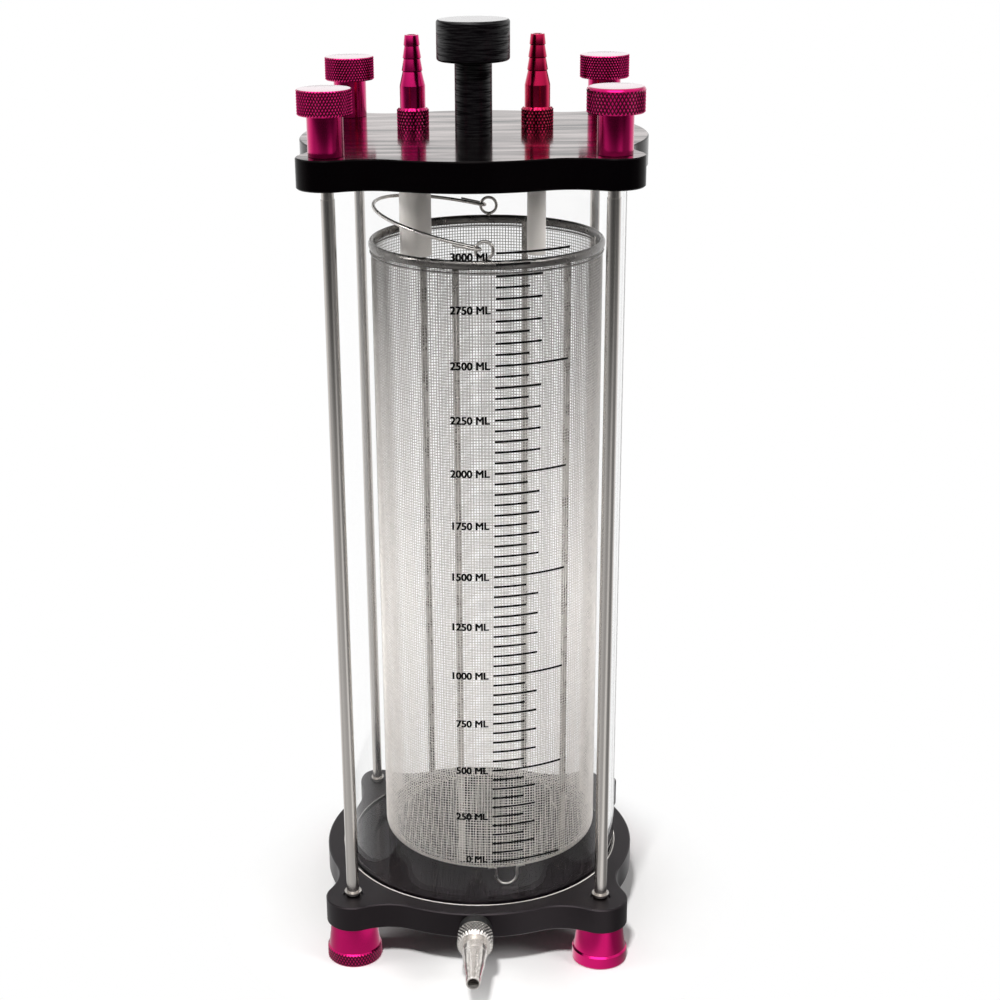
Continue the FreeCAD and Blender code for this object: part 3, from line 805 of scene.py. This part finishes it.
class CANISTER_OT_hose_barbs(CanisterStep):
    """Make the two barbed hose fittings in the lid."""
    bl_idname = "canister.hose_barbs"
    bl_label = "Hose barbs"

    spigots = {"left": 4.85 * MM, "right": 2.7 * MM}
    bore = 1.8 * MM
    thread = 5.2 * MM
    plate = 12 * MM                 # thickness of the lid that the thread passes
    collar = 7.8 * MM
    slope = 0.1 * MM                # rise of the collar's top towards the body
    body = 5.35 * MM
    body_top = 16.6 * MM
    tip_radius = 2.9 * MM
    crests = 3                      # each is larger than the next one up
    growth = 0.48 * MM
    first_crest = 22.3 * MM
    spacing = 5.1 * MM
    step, rise = 0.34 * MM, 0.45 * MM

    def build(self, context):
        sizes = context.scene.canister_knurls
        lid_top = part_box("lid_plate")[1].z
        tints = {"left": ("magenta_anodised_fitting", style().magenta),
                 "right": ("crimson_anodised_fitting", style().crimson)}
        for side, (name, tint) in tints.items():
            node = "hose_barb_" + side
            centre, low, high = middle(node)
            radius = (high.x - low.x) / 2
            tip = high.z - lid_top
            drop = lid_top - low.z
            spigot = self.spigots[side]
            bottom, top = 0.3 * MM, self.collar - 1.0 * MM
            profile = [
                (self.bore, -drop, 0), (spigot, -drop, 0.3 * MM), (spigot, -self.plate, 0),
                (self.thread, -self.plate, 0), (self.thread, 0, 0), (radius - 0.3 * MM, 0, 0),
                *band(radius, bottom, top, sizes.other_pitch),
                (radius - 1.0 * MM, self.collar, 0), (self.body, self.collar + self.slope, 0),
                (self.body, self.body_top, 0.2 * MM),
            ]
            for crest in range(self.crests):
                reach = self.tip_radius + (self.crests - crest) * self.growth
                height = self.first_crest + crest * self.spacing
                profile += [(reach - self.step, height, 0),
                            (reach, height + self.rise, 0.08 * MM)]
            profile += [(self.tip_radius, tip, 0.25 * MM), (self.bore, tip, 0.15 * MM)]
            bm = spun(profile, knurl_steps(radius, sizes.other_pitch), closed=True)
            press_knurl(bm, radius, bottom, top, sizes.other_pitch, sizes.other_depth)
            keep_cut_length(bm)
            moved(bm, (centre.x, centre.y, lid_top))
            # painted highlight on the collar's top and on the tip's end
            levels = [(lid_top + self.collar + self.slope / 2, self.slope / 2),
                      (high.z, 0.01 * MM)]
            finish = material(name, dyed_aluminium(tuple(tint), levels))
            finished(bm, "barbed_fitting_" + side, "canister", finish,
                     [node], smooth_below=20)


class CANISTER_OT_dip_tubes(CanisterStep):
    """Finish the two dip tubes."""
    bl_idname = "canister.dip_tubes"
    bl_label = "Dip tubes"

    def build(self, context):
        hose = material("milky_silicone_hose", grey_tube(tuple(style().tube)))
        dress(["dip_tube_left", "dip_tube_right"], hose)


class CANISTER_OT_drain_nozzle(CanisterStep):
    """Make the barbed drain nozzle."""
    bl_idname = "canister.drain_nozzle"
    bl_label = "Drain nozzle"

    # radius and distance from the collar of each crest
    crests = ((4.65 * MM, 14.7 * MM), (3.85 * MM, 20.4 * MM), (3.35 * MM, 24.5 * MM))

    def build(self, context):
        sizes = context.scene.canister_knurls
        centre, low, high = middle("drain_nozzle")
        radius = (high.x - low.x) / 2
        depth = high.y - low.y
        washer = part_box("nozzle_washer")[1].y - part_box("nozzle_washer")[0].y
        stub = 9.0 * MM
        face = washer + 7.9 * MM
        top = face - 1.3 * MM
        tip = depth - stub
        profile = [
            (2.45 * MM, -stub, 0), (3.5 * MM, -stub, 0), (3.5 * MM, washer, 0),
            (radius - 0.2 * MM, washer, 0),
            *band(radius, washer + 0.2 * MM, top, sizes.other_pitch),
            (radius - 1.3 * MM, face, 0), (5.2 * MM, face, 0), (5.2 * MM, face + 0.25 * MM, 0),
            (5.3 * MM, face + 0.4 * MM, 0), (5.3 * MM, face + 6.9 * MM, 0),
            (5.2 * MM, face + 7.05 * MM, 0), (5.2 * MM, face + 7.15 * MM, 0),
        ]
        for crest, along in self.crests:
            profile += [(crest - 0.22 * MM, face + along - 0.1 * MM, 0),
                        (crest, face + along + 0.1 * MM, 0.04 * MM)]
        profile += [(3.0 * MM, tip, 0.12 * MM), (2.45 * MM, tip, 0)]
        bm = spun(profile, knurl_steps(radius, sizes.other_pitch), closed=True)
        press_knurl(bm, radius, washer + 0.2 * MM, top, sizes.other_pitch, sizes.other_depth)
        keep_cut_length(bm)
        moved(bm, (0, high.y - stub, centre.z), Matrix.Rotation(math.radians(90), 4, "X"))
        steel = material("turned_stainless_bar", turned_steel(tuple(style().steel)))
        finished(bm, "barbed_nozzle", "canister", steel,
                 ["drain_nozzle"], smooth_below=20)


class CANISTER_OT_strainer_mesh(CanisterStep):
    """Weave the strainer's wall and floor from single wires."""
    bl_idname = "canister.strainer_mesh"
    bl_label = "Strainer mesh"

    def build(self, context):
        sizes = context.scene.canister_mesh
        finish = material("woven_stainless_cloth", woven_wire(tuple(style().steel)))
        centre, low, high = middle("basket_wall")
        self.centre = Vector((centre.x, centre.y, 0))
        self.radius = (high.x - low.x) / 2 - sizes.wall / 2
        self.bottom, self.top = low.z, high.z
        self.bend = sizes.corner - sizes.wall / 2
        self.flat = self.radius - self.bend
        self.weave_uprights(sizes, finish)
        self.weave_hoops(sizes, finish)
        self.weave_bend(sizes, finish)
        self.weave_floor(sizes, finish)

    def weave_uprights(self, sizes, finish):
        """One straight wire, bent in at its foot, and copied round the wall."""
        bm = bmesh.new()
        wire = bmesh.ops.create_cone(bm, cap_ends=True, segments=4, radius1=sizes.wire / 2,
                                     radius2=sizes.wire / 2, depth=self.top - self.bottom)["verts"]
        bmesh.ops.translate(bm, verts=wire, vec=(self.radius, 0, (self.top + self.bottom) / 2))
        foot = [face for face in bm.faces if face.normal.z < -0.5]
        bmesh.ops.spin(bm, geom=foot, cent=(self.flat, 0, self.bottom), axis=(0, 1, 0),
                       dvec=(0, 0, 0), angle=FULL_TURN / 4, steps=4, use_merge=False,
                       use_duplicate=False)
        bmesh.ops.recalc_face_normals(bm, faces=bm.faces[:])
        step = FULL_TURN / sizes.around
        bmesh.ops.spin(bm, geom=bm.verts[:] + bm.edges[:] + bm.faces[:], cent=(0, 0, 0),
                       axis=(0, 0, 1), dvec=(0, 0, 0), angle=FULL_TURN - step,
                       steps=sizes.around - 1, use_merge=False, use_duplicate=True)
        moved(bm, self.centre)
        finished(bm, "mesh_uprights", "canister", finish, ["basket_wall"],
                 smooth_below=100)

    def hoop(self, sizes):
        """Ring that passes outside one upright and inside the next."""
        bm = bmesh.new()
        section = bmesh.ops.create_circle(bm, cap_ends=False, segments=3,
                                          radius=sizes.wire / 2)["verts"]
        bmesh.ops.rotate(bm, verts=section, cent=(0, 0, 0),
                         matrix=Matrix.Rotation(math.radians(90), 3, "X"))
        bmesh.ops.translate(bm, verts=section, vec=(self.radius, 0, 0))
        bmesh.ops.spin(bm, geom=bm.verts[:] + bm.edges[:], cent=(0, 0, 0), axis=(0, 0, 1),
                       dvec=(0, 0, 0), angle=FULL_TURN, steps=sizes.around, use_merge=True,
                       use_duplicate=False)
        bmesh.ops.recalc_face_normals(bm, faces=bm.faces[:])
        step = FULL_TURN / sizes.around
        for vert in bm.verts:
            column = round(math.atan2(vert.co.y, vert.co.x) / step)
            push = 1 + (0.5 if column % 2 == 0 else -0.5) * sizes.wire / self.radius
            vert.co = (vert.co.x * push, vert.co.y * push, vert.co.z)
        return bm

    def copy_hoop(self, bm, sizes, geometry, number, radius, height):
        """Copy of the ring at another size and height; odd numbers weave the other way."""
        copy = bmesh.ops.duplicate(bm, geom=geometry)["geom"]
        verts = [item for item in copy if isinstance(item, bmesh.types.BMVert)]
        wide = radius / self.radius
        bmesh.ops.scale(bm, verts=verts, vec=(wide, wide, 1))
        bmesh.ops.rotate(bm, verts=verts, cent=(0, 0, 0), matrix=Matrix.Rotation(
            number * FULL_TURN / sizes.around, 3, "Z"))
        bmesh.ops.translate(bm, verts=verts, vec=(0, 0, height))

    def weave_hoops(self, sizes, finish):
        """Two neighbouring hoops, repeated up the wall in two halves."""
        pairs = int((self.top - self.bottom) / sizes.pitch / 2)
        rise = (self.top - self.bottom) / pairs
        halves = {"mesh_hoops_low": (0, pairs // 2), "mesh_hoops_high": (pairs // 2, pairs)}
        for name, (first, last) in halves.items():
            bm = self.hoop(sizes)
            self.copy_hoop(bm, sizes, bm.verts[:] + bm.edges[:] + bm.faces[:], 1, self.radius,
                           rise / 2)
            moved(bm, self.centre + Vector((0, 0, self.bottom + (first + 0.25) * rise)))
            piece = finished(bm, name, "canister", finish, smooth_below=180)
            repeat = piece.modifiers.new("up the wall", "ARRAY")
            repeat.use_relative_offset = False
            repeat.use_constant_offset = True
            repeat.constant_offset_displace = (0, 0, rise)
            repeat.count = last - first

    def weave_bend(self, sizes, finish):
        """Hoops round the bend between wall and floor."""
        bm = self.hoop(sizes)
        first = bm.verts[:] + bm.edges[:] + bm.faces[:]
        rings = 6
        for ring in range(1, rings + 1):
            angle = FULL_TURN / 4 * ring / rings
            self.copy_hoop(bm, sizes, first, ring + 1, self.flat + self.bend * math.cos(angle),
                           -self.bend * math.sin(angle))
        moved(bm, self.centre + Vector((0, 0, self.bottom)))
        finished(bm, "mesh_bend", "canister", finish, smooth_below=180)

    def weave_floor(self, sizes, finish):
        """Flat disc of crossed wires: one set straight, the other passing over and under it."""
        rows = 2 * int(self.flat / sizes.pitch / 2)
        half = rows * sizes.pitch
        for name, waves, turn in (("mesh_floor_straight", 0.0, 0), ("mesh_floor_woven", 0.8, 90)):
            bm = bmesh.new()
            for row in (0, 1):
                self.floor_wire(bm, sizes, row, half, waves * sizes.wire)
            bmesh.ops.spin(bm, geom=bm.verts[:] + bm.edges[:] + bm.faces[:], cent=(0, 0, 0),
                           axis=(0, 0, 1), dvec=(0, 2 * sizes.pitch, 0), angle=0, steps=rows,
                           use_merge=False, use_duplicate=True)
            moved(bm, (0, -half, self.bottom - self.bend))
            outside = [vert for vert in bm.verts if math.hypot(vert.co.x, vert.co.y) > self.flat]
            bmesh.ops.delete(bm, geom=outside, context="VERTS")
            bmesh.ops.holes_fill(bm, edges=[edge for edge in bm.edges if edge.is_boundary],
                                 sides=3)
            bmesh.ops.recalc_face_normals(bm, faces=bm.faces[:])
            moved(bm, self.centre, Matrix.Rotation(math.radians(turn), 4, "Z"))
            finished(bm, name, "canister", finish, ["basket_floor"],
                     smooth_below=125)

    def floor_wire(self, bm, sizes, row, half, wave):
        """One wire along X with a corner at every crossing."""
        before = set(bm.verts)
        wire = bmesh.ops.create_cone(bm, cap_ends=True, segments=3, radius1=sizes.wire / 2,
                                     radius2=sizes.wire / 2, depth=2 * half)["verts"]
        bmesh.ops.rotate(bm, verts=wire, cent=(0, 0, 0),
                         matrix=Matrix.Rotation(math.radians(90), 3, "Y"))
        sides = [edge for edge in {edge for vert in wire for edge in vert.link_edges}
                 if edge.calc_length() > half]
        bmesh.ops.subdivide_edges(bm, edges=sides, cuts=round(2 * half / sizes.pitch) - 1,
                                  use_grid_fill=True)
        for vert in set(bm.verts) - before:
            column = round((vert.co.x + half) / sizes.pitch)
            vert.co.z += wave * (1 if (column + row) % 2 == 0 else -1)
            vert.co.y += row * sizes.pitch


class CANISTER_OT_basket_wires(CanisterStep):
    """Finish the strainer's rim, ribs, feet, eyelets and bail."""
    bl_idname = "canister.basket_wires"
    bl_label = "Strainer rim and wires"

    def build(self, context):
        wire = material("tumbled_stainless_wire", bright_wire(tuple(style().steel)))
        self.make_rim()
        names = ["eyelet_front", "eyelet_back", "bail"]
        names += ["basket_rib_%d" % number for number in range(1, 7)]
        names += ["basket_foot_%d" % number for number in range(1, 4)]
        dress(names, wire)

    def make_rim(self):
        """Rolled bead, and the thin ring that ties the cloth below it."""
        centre, low, high = middle("basket_rim")
        wide = (high.x - low.x) / 2
        bead, tall = 1.2 * MM, 1.9 * MM
        thin = 0.3 * MM
        bm = bmesh.new()
        for across, up, height, reach in (
                (bead, tall, high.z - tall, wide - bead),
                (thin, thin, low.z + thin, wide - bead + 0.5 * MM)):
            ring = bmesh.ops.create_circle(bm, cap_ends=False, segments=20, radius=1.0)["verts"]
            bmesh.ops.scale(bm, verts=ring, vec=(across, up, 1.0))
            bmesh.ops.rotate(bm, verts=ring, cent=(0, 0, 0),
                             matrix=Matrix.Rotation(math.radians(90), 3, "X"))
            bmesh.ops.translate(bm, verts=ring, vec=(reach, 0, height))
        bmesh.ops.spin(bm, geom=bm.verts[:] + bm.edges[:], cent=(0, 0, 0), axis=(0, 0, 1),
                       dvec=(0, 0, 0), angle=FULL_TURN, steps=160, use_merge=True,
                       use_duplicate=False)
        bmesh.ops.recalc_face_normals(bm, faces=bm.faces[:])
        moved(bm, (centre.x, centre.y, 0))
        # painted shade: the rim's steel is darkened to 0.3 of its tone, for the dark front of the bead
        grey = material("rolled_stainless_rim", bright_wire(shade(tuple(style().steel), 0.3)[:3]))
        finished(bm, "rolled_rim", "canister", grey, ["basket_rim"],
                 smooth_below=60)


# Studio


class CANISTER_OT_stage(CanisterStep):
    """Set up the floor, the light and the camera."""
    bl_idname = "canister.stage"
    bl_label = "Studio"

    # where the photograph was taken from, fitted to the tie rods and the printed marks
    camera_place = Vector((20.46, -775.1, 468.2)) * MM
    yaw, pitch, roll = -0.043, 0.382, -0.014
    lens_over_sensor = 1.868
    shift = (0.0515, 0.0866)

    def build(self, context):
        studio = context.scene.canister_studio
        self.lay_floor(context)
        self.light_world(context, studio)
        target = Vector((0, 0, 0.2))
        self.lamp(context, "key light", studio.key, 0.14, target, 1.6, -8.0, 53.0)
        self.lamp(context, "left light", studio.side, 0.5, target, 1.4, -75.0, 25.0)
        self.lamp(context, "right light", studio.side, 0.4, target, 1.4, 60.0, 30.0)
        self.place_camera(context)
        context.scene.view_settings.view_transform = "Standard"

    def lay_floor(self, context):
        bm = bmesh.new()
        bmesh.ops.create_circle(bm, cap_ends=True, segments=96, radius=3.0)
        mesh = bpy.data.meshes.new("studio_floor")
        bm.to_mesh(mesh)
        bm.free()
        mesh.materials.append(material("white_studio_floor", self.floor_paper))
        floor = bpy.data.objects.new("studio_floor", mesh)
        context.scene.collection.objects.link(floor)

    def floor_paper(self, tree):
        """White paper that takes the canister's shadow and is plain white further out. Metal
        mirrors it dimmer, and mirrors the dark room past its front edge."""
        place = add(tree, "TexCoord").outputs["Object"]
        distance = add(tree, "VectorMath", {0: place}, operation="LENGTH").outputs["Value"]
        far = add(tree, "MapRange", {"Value": distance, "From Min": 0.075, "From Max": 0.125},
                  interpolation_type="SMOOTHSTEP").outputs[0]
        grain = stretched_noise(tree, (400.0, 400.0, 400.0), 2.0)
        tone = tuple(style().floor)
        fibres = tones(tree, grain, shade(tone, 0.99), opaque(tone))
        paper = add(tree, "BsdfDiffuse", {"Color": fibres})
        white = add(tree, "Emission", {"Color": opaque((1.0, 1.0, 1.0)), "Strength": 1.0})
        seen = add(tree, "MixShader", {0: far, 1: paper.outputs[0], 2: white.outputs[0]})
        depth = add(tree, "SeparateXYZ", {0: place}).outputs["Y"]
        spread = add(tree, "MapRange", {"Value": depth, "From Min": -2.0, "From Max": 2.0})
        fade = self.ramp(tree, spread.outputs[0], (
            (0.0, 0.05), (0.2, 0.1), (0.31, 0.7), (0.42, 1.0), (1.0, 1.0)))
        dim = add(tree, "Mix", {"Factor": 1.0, "A": fade, "B": self.round_about(tree, place)},
                  data_type="RGBA", blend_type="MULTIPLY").outputs["Result"]
        mirrored = add(tree, "Emission", {"Color": dim, "Strength": 1.0})
        ray = add(tree, "LightPath")
        shown = add(tree, "MixShader", {0: ray.outputs["Is Glossy Ray"], 1: seen.outputs[0],
                                        2: mirrored.outputs[0]})
        return add(tree, "MixShader", {0: self.looking(tree, ray), 1: paper.outputs[0],
                                       2: shown.outputs[0]}).outputs[0]

    def looking(self, tree, ray):
        """1 for rays that see the background: straight, in a reflection or through glass."""
        first = add(tree, "Math", {0: ray.outputs["Is Camera Ray"], 1: ray.outputs["Is Glossy Ray"]},
                    operation="MAXIMUM")
        return add(tree, "Math", {0: first.outputs[0], 1: ray.outputs["Is Transmission Ray"]},
                   operation="MAXIMUM").outputs[0]

    def light_world(self, context, studio):
        world = bpy.data.worlds.new("white studio")
        context.scene.world = world
        world.use_nodes = True
        tree = world.node_tree
        tree.nodes.clear()
        ray = add(tree, "LightPath")
        even = add(tree, "Background", {"Color": self.ceiling_tone(tree), "Strength": studio.ambient})
        white = add(tree, "Background", {"Color": opaque((1.0, 1.0, 1.0)), "Strength": 1.0})
        room = add(tree, "Background", {"Color": self.room_tone(tree), "Strength": 1.0})
        looking = self.looking(tree, ray)
        seen = add(tree, "MixShader", {0: ray.outputs["Is Glossy Ray"], 1: white.outputs[0],
                                       2: room.outputs[0]})
        both = add(tree, "MixShader", {0: looking, 1: even.outputs[0], 2: seen.outputs[0]})
        add(tree, "OutputWorld", {"Surface": both.outputs[0]})

    def ceiling_tone(self, tree):
        """Even light for matt surfaces: most of it from above."""
        direction = add(tree, "TexCoord").outputs["Generated"]
        height = add(tree, "SeparateXYZ", {0: direction}).outputs["Z"]
        return self.ramp(tree, height, ((0.0, 0.08), (0.25, 0.16), (0.6, 1.0), (1.0, 1.0)))

    def round_about(self, tree, direction):
        """How bright the room is round the compass: white behind, grey in front, a window to the
        right of the front, and a dark corner beyond it."""
        parts = add(tree, "SeparateXYZ", {0: direction})
        front = add(tree, "Math", {0: parts.outputs["Y"], 1: -1.0}, operation="MULTIPLY")
        angle = add(tree, "Math", {0: parts.outputs["X"], 1: front.outputs[0]},
                    operation="ARCTAN2")
        turn = add(tree, "MapRange", {"Value": angle.outputs[0], "From Min": -math.pi,
                                      "From Max": math.pi})
        return self.ramp(tree, turn.outputs[0], (
            (0.0, 1.0), (0.22, 1.0), (0.3, 0.55), (0.36, 0.7), (0.5, 0.5), (0.535, 0.6),
            (0.56, 1.0), (0.6, 1.0), (0.64, 0.3), (0.74, 0.25), (0.8, 0.9), (1.0, 1.0)))

    def room_tone(self, tree):
        """What metal mirrors above the floor: a white backdrop with a dimmer stretch below its
        bright top, soft light from the front, and a soft box, brighter than white, that stands
        for the key light."""
        direction = add(tree, "TexCoord").outputs["Generated"]
        parts = add(tree, "SeparateXYZ", {0: direction})
        behind = self.ramp(tree, parts.outputs["Z"], (
            (0.0, 1.0), (0.25, 1.0), (0.36, 0.8), (0.47, 0.45), (0.58, 1.1), (1.0, 1.2)))
        before = self.ramp(tree, parts.outputs["Z"], (
            (0.0, 0.1), (0.1, 0.15), (0.3, 1.0), (1.0, 1.0)))
        side = add(tree, "MapRange", {"Value": parts.outputs["Y"], "From Min": -0.2,
                                      "From Max": 0.2}).outputs[0]
        wall = add(tree, "Mix", {"Factor": side, "A": before, "B": behind}, data_type="RGBA")
        toward = add(tree, "VectorMath", {0: direction, 1: self.aim(-8.0, 55.0)},
                     operation="DOT_PRODUCT").outputs["Value"]
        box = add(tree, "MapRange", {"Value": toward, "From Min": 0.88, "From Max": 0.93,
                                     "To Max": 3.0}, interpolation_type="SMOOTHSTEP").outputs[0]
        return add(tree, "Mix", {"Factor": 1.0, "A": wall.outputs["Result"], "B": box},
                   data_type="RGBA", blend_type="ADD").outputs["Result"]

    def aim(self, around, above):
        """Direction from degrees round from the front towards +X, and degrees above level."""
        turn, rise = math.radians(around), math.radians(above)
        return Vector((math.sin(turn) * math.cos(rise), -math.cos(turn) * math.cos(rise),
                       math.sin(rise)))

    def ramp(self, tree, value, stops):
        """Grey tone along a value; stops are (place, tone)."""
        node = add(tree, "ValToRGB", {"Fac": value})
        elements = node.color_ramp.elements
        while len(elements) < len(stops):
            elements.new(0.5)
        for element, (place, tone) in zip(elements, stops):
            element.position = place
            element.color = (tone, tone, tone, 1.0)
        return node.outputs["Color"]

    def lamp(self, context, name, power, size, target, distance, around, above):
        """Square soft light; metal mirrors the room's soft box in its place."""
        light = bpy.data.lights.new(name, "AREA")
        light.energy = power
        light.size = size
        away = self.aim(around, above)
        lamp = bpy.data.objects.new(name, light)
        lamp.visible_glossy = False
        lamp.location = target + away * distance
        lamp.rotation_euler = away.to_track_quat("Z", "Y").to_euler()
        context.scene.collection.objects.link(lamp)

    def place_camera(self, context):
        camera = bpy.data.cameras.new("camera")
        camera.lens = self.lens_over_sensor * camera.sensor_width
        camera.shift_x, camera.shift_y = self.shift
        camera.clip_start = 0.01
        holder = bpy.data.objects.new("camera", camera)
        context.scene.collection.objects.link(holder)
        ahead = Vector((math.sin(self.yaw) * math.cos(self.pitch),
                        math.cos(self.yaw) * math.cos(self.pitch), -math.sin(self.pitch)))
        level = Vector((math.cos(self.yaw), -math.sin(self.yaw), 0))
        upright = level.cross(ahead)
        right = math.cos(self.roll) * level + math.sin(self.roll) * upright
        above = math.cos(self.roll) * upright - math.sin(self.roll) * level
        turn = Matrix((right, above, -ahead)).transposed()
        holder.matrix_world = Matrix.Translation(self.camera_place) @ turn.to_4x4()
        context.scene.camera = holder


STEPS = (
    CANISTER_OT_plates, CANISTER_OT_clear_cylinder, CANISTER_OT_seals, CANISTER_OT_scale,
    CANISTER_OT_tie_rods, CANISTER_OT_thumb_nuts, CANISTER_OT_feet, CANISTER_OT_handle,
    CANISTER_OT_hose_barbs, CANISTER_OT_dip_tubes, CANISTER_OT_drain_nozzle,
    CANISTER_OT_strainer_mesh, CANISTER_OT_basket_wires, CANISTER_OT_stage,
)
GROUPS = {
    "canister_mesh": CanisterMeshSizes,
    "canister_knurls": CanisterKnurlSizes,
    "canister_scale": CanisterScaleSizes,
    "canister_colours": CanisterColours,
    "canister_studio": CanisterStudio,
}


class CANISTER_PT_steps(bpy.types.Panel):
    """Buttons for the steps and their sizes."""
    bl_label = "Suction canister"
    bl_space_type = "VIEW_3D"
    bl_region_type = "UI"
    bl_category = "Canister"

    def draw(self, context):
        for step in STEPS:
            self.layout.operator(step.bl_idname)
        for name, group in GROUPS.items():
            box = self.layout.box()
            for size in group.__annotations__:
                box.prop(getattr(context.scene, name), size)


def register():
    for group in GROUPS.values():
        bpy.utils.register_class(group)
    for step in STEPS:
        bpy.utils.register_class(step)
    bpy.utils.register_class(CANISTER_PT_steps)
    for name, group in GROUPS.items():
        setattr(bpy.types.Scene, name, bpy.props.PointerProperty(type=group))


def unregister():
    for name in GROUPS:
        delattr(bpy.types.Scene, name)
    bpy.utils.unregister_class(CANISTER_PT_steps)
    for step in reversed(STEPS):
        bpy.utils.unregister_class(step)
    for group in reversed(list(GROUPS.values())):
        bpy.utils.unregister_class(group)


def main():
    register()
    for step in STEPS:
        group, name = step.bl_idname.split(".")
        getattr(getattr(bpy.ops, group), name)()


if __name__ == "__main__":
    main()
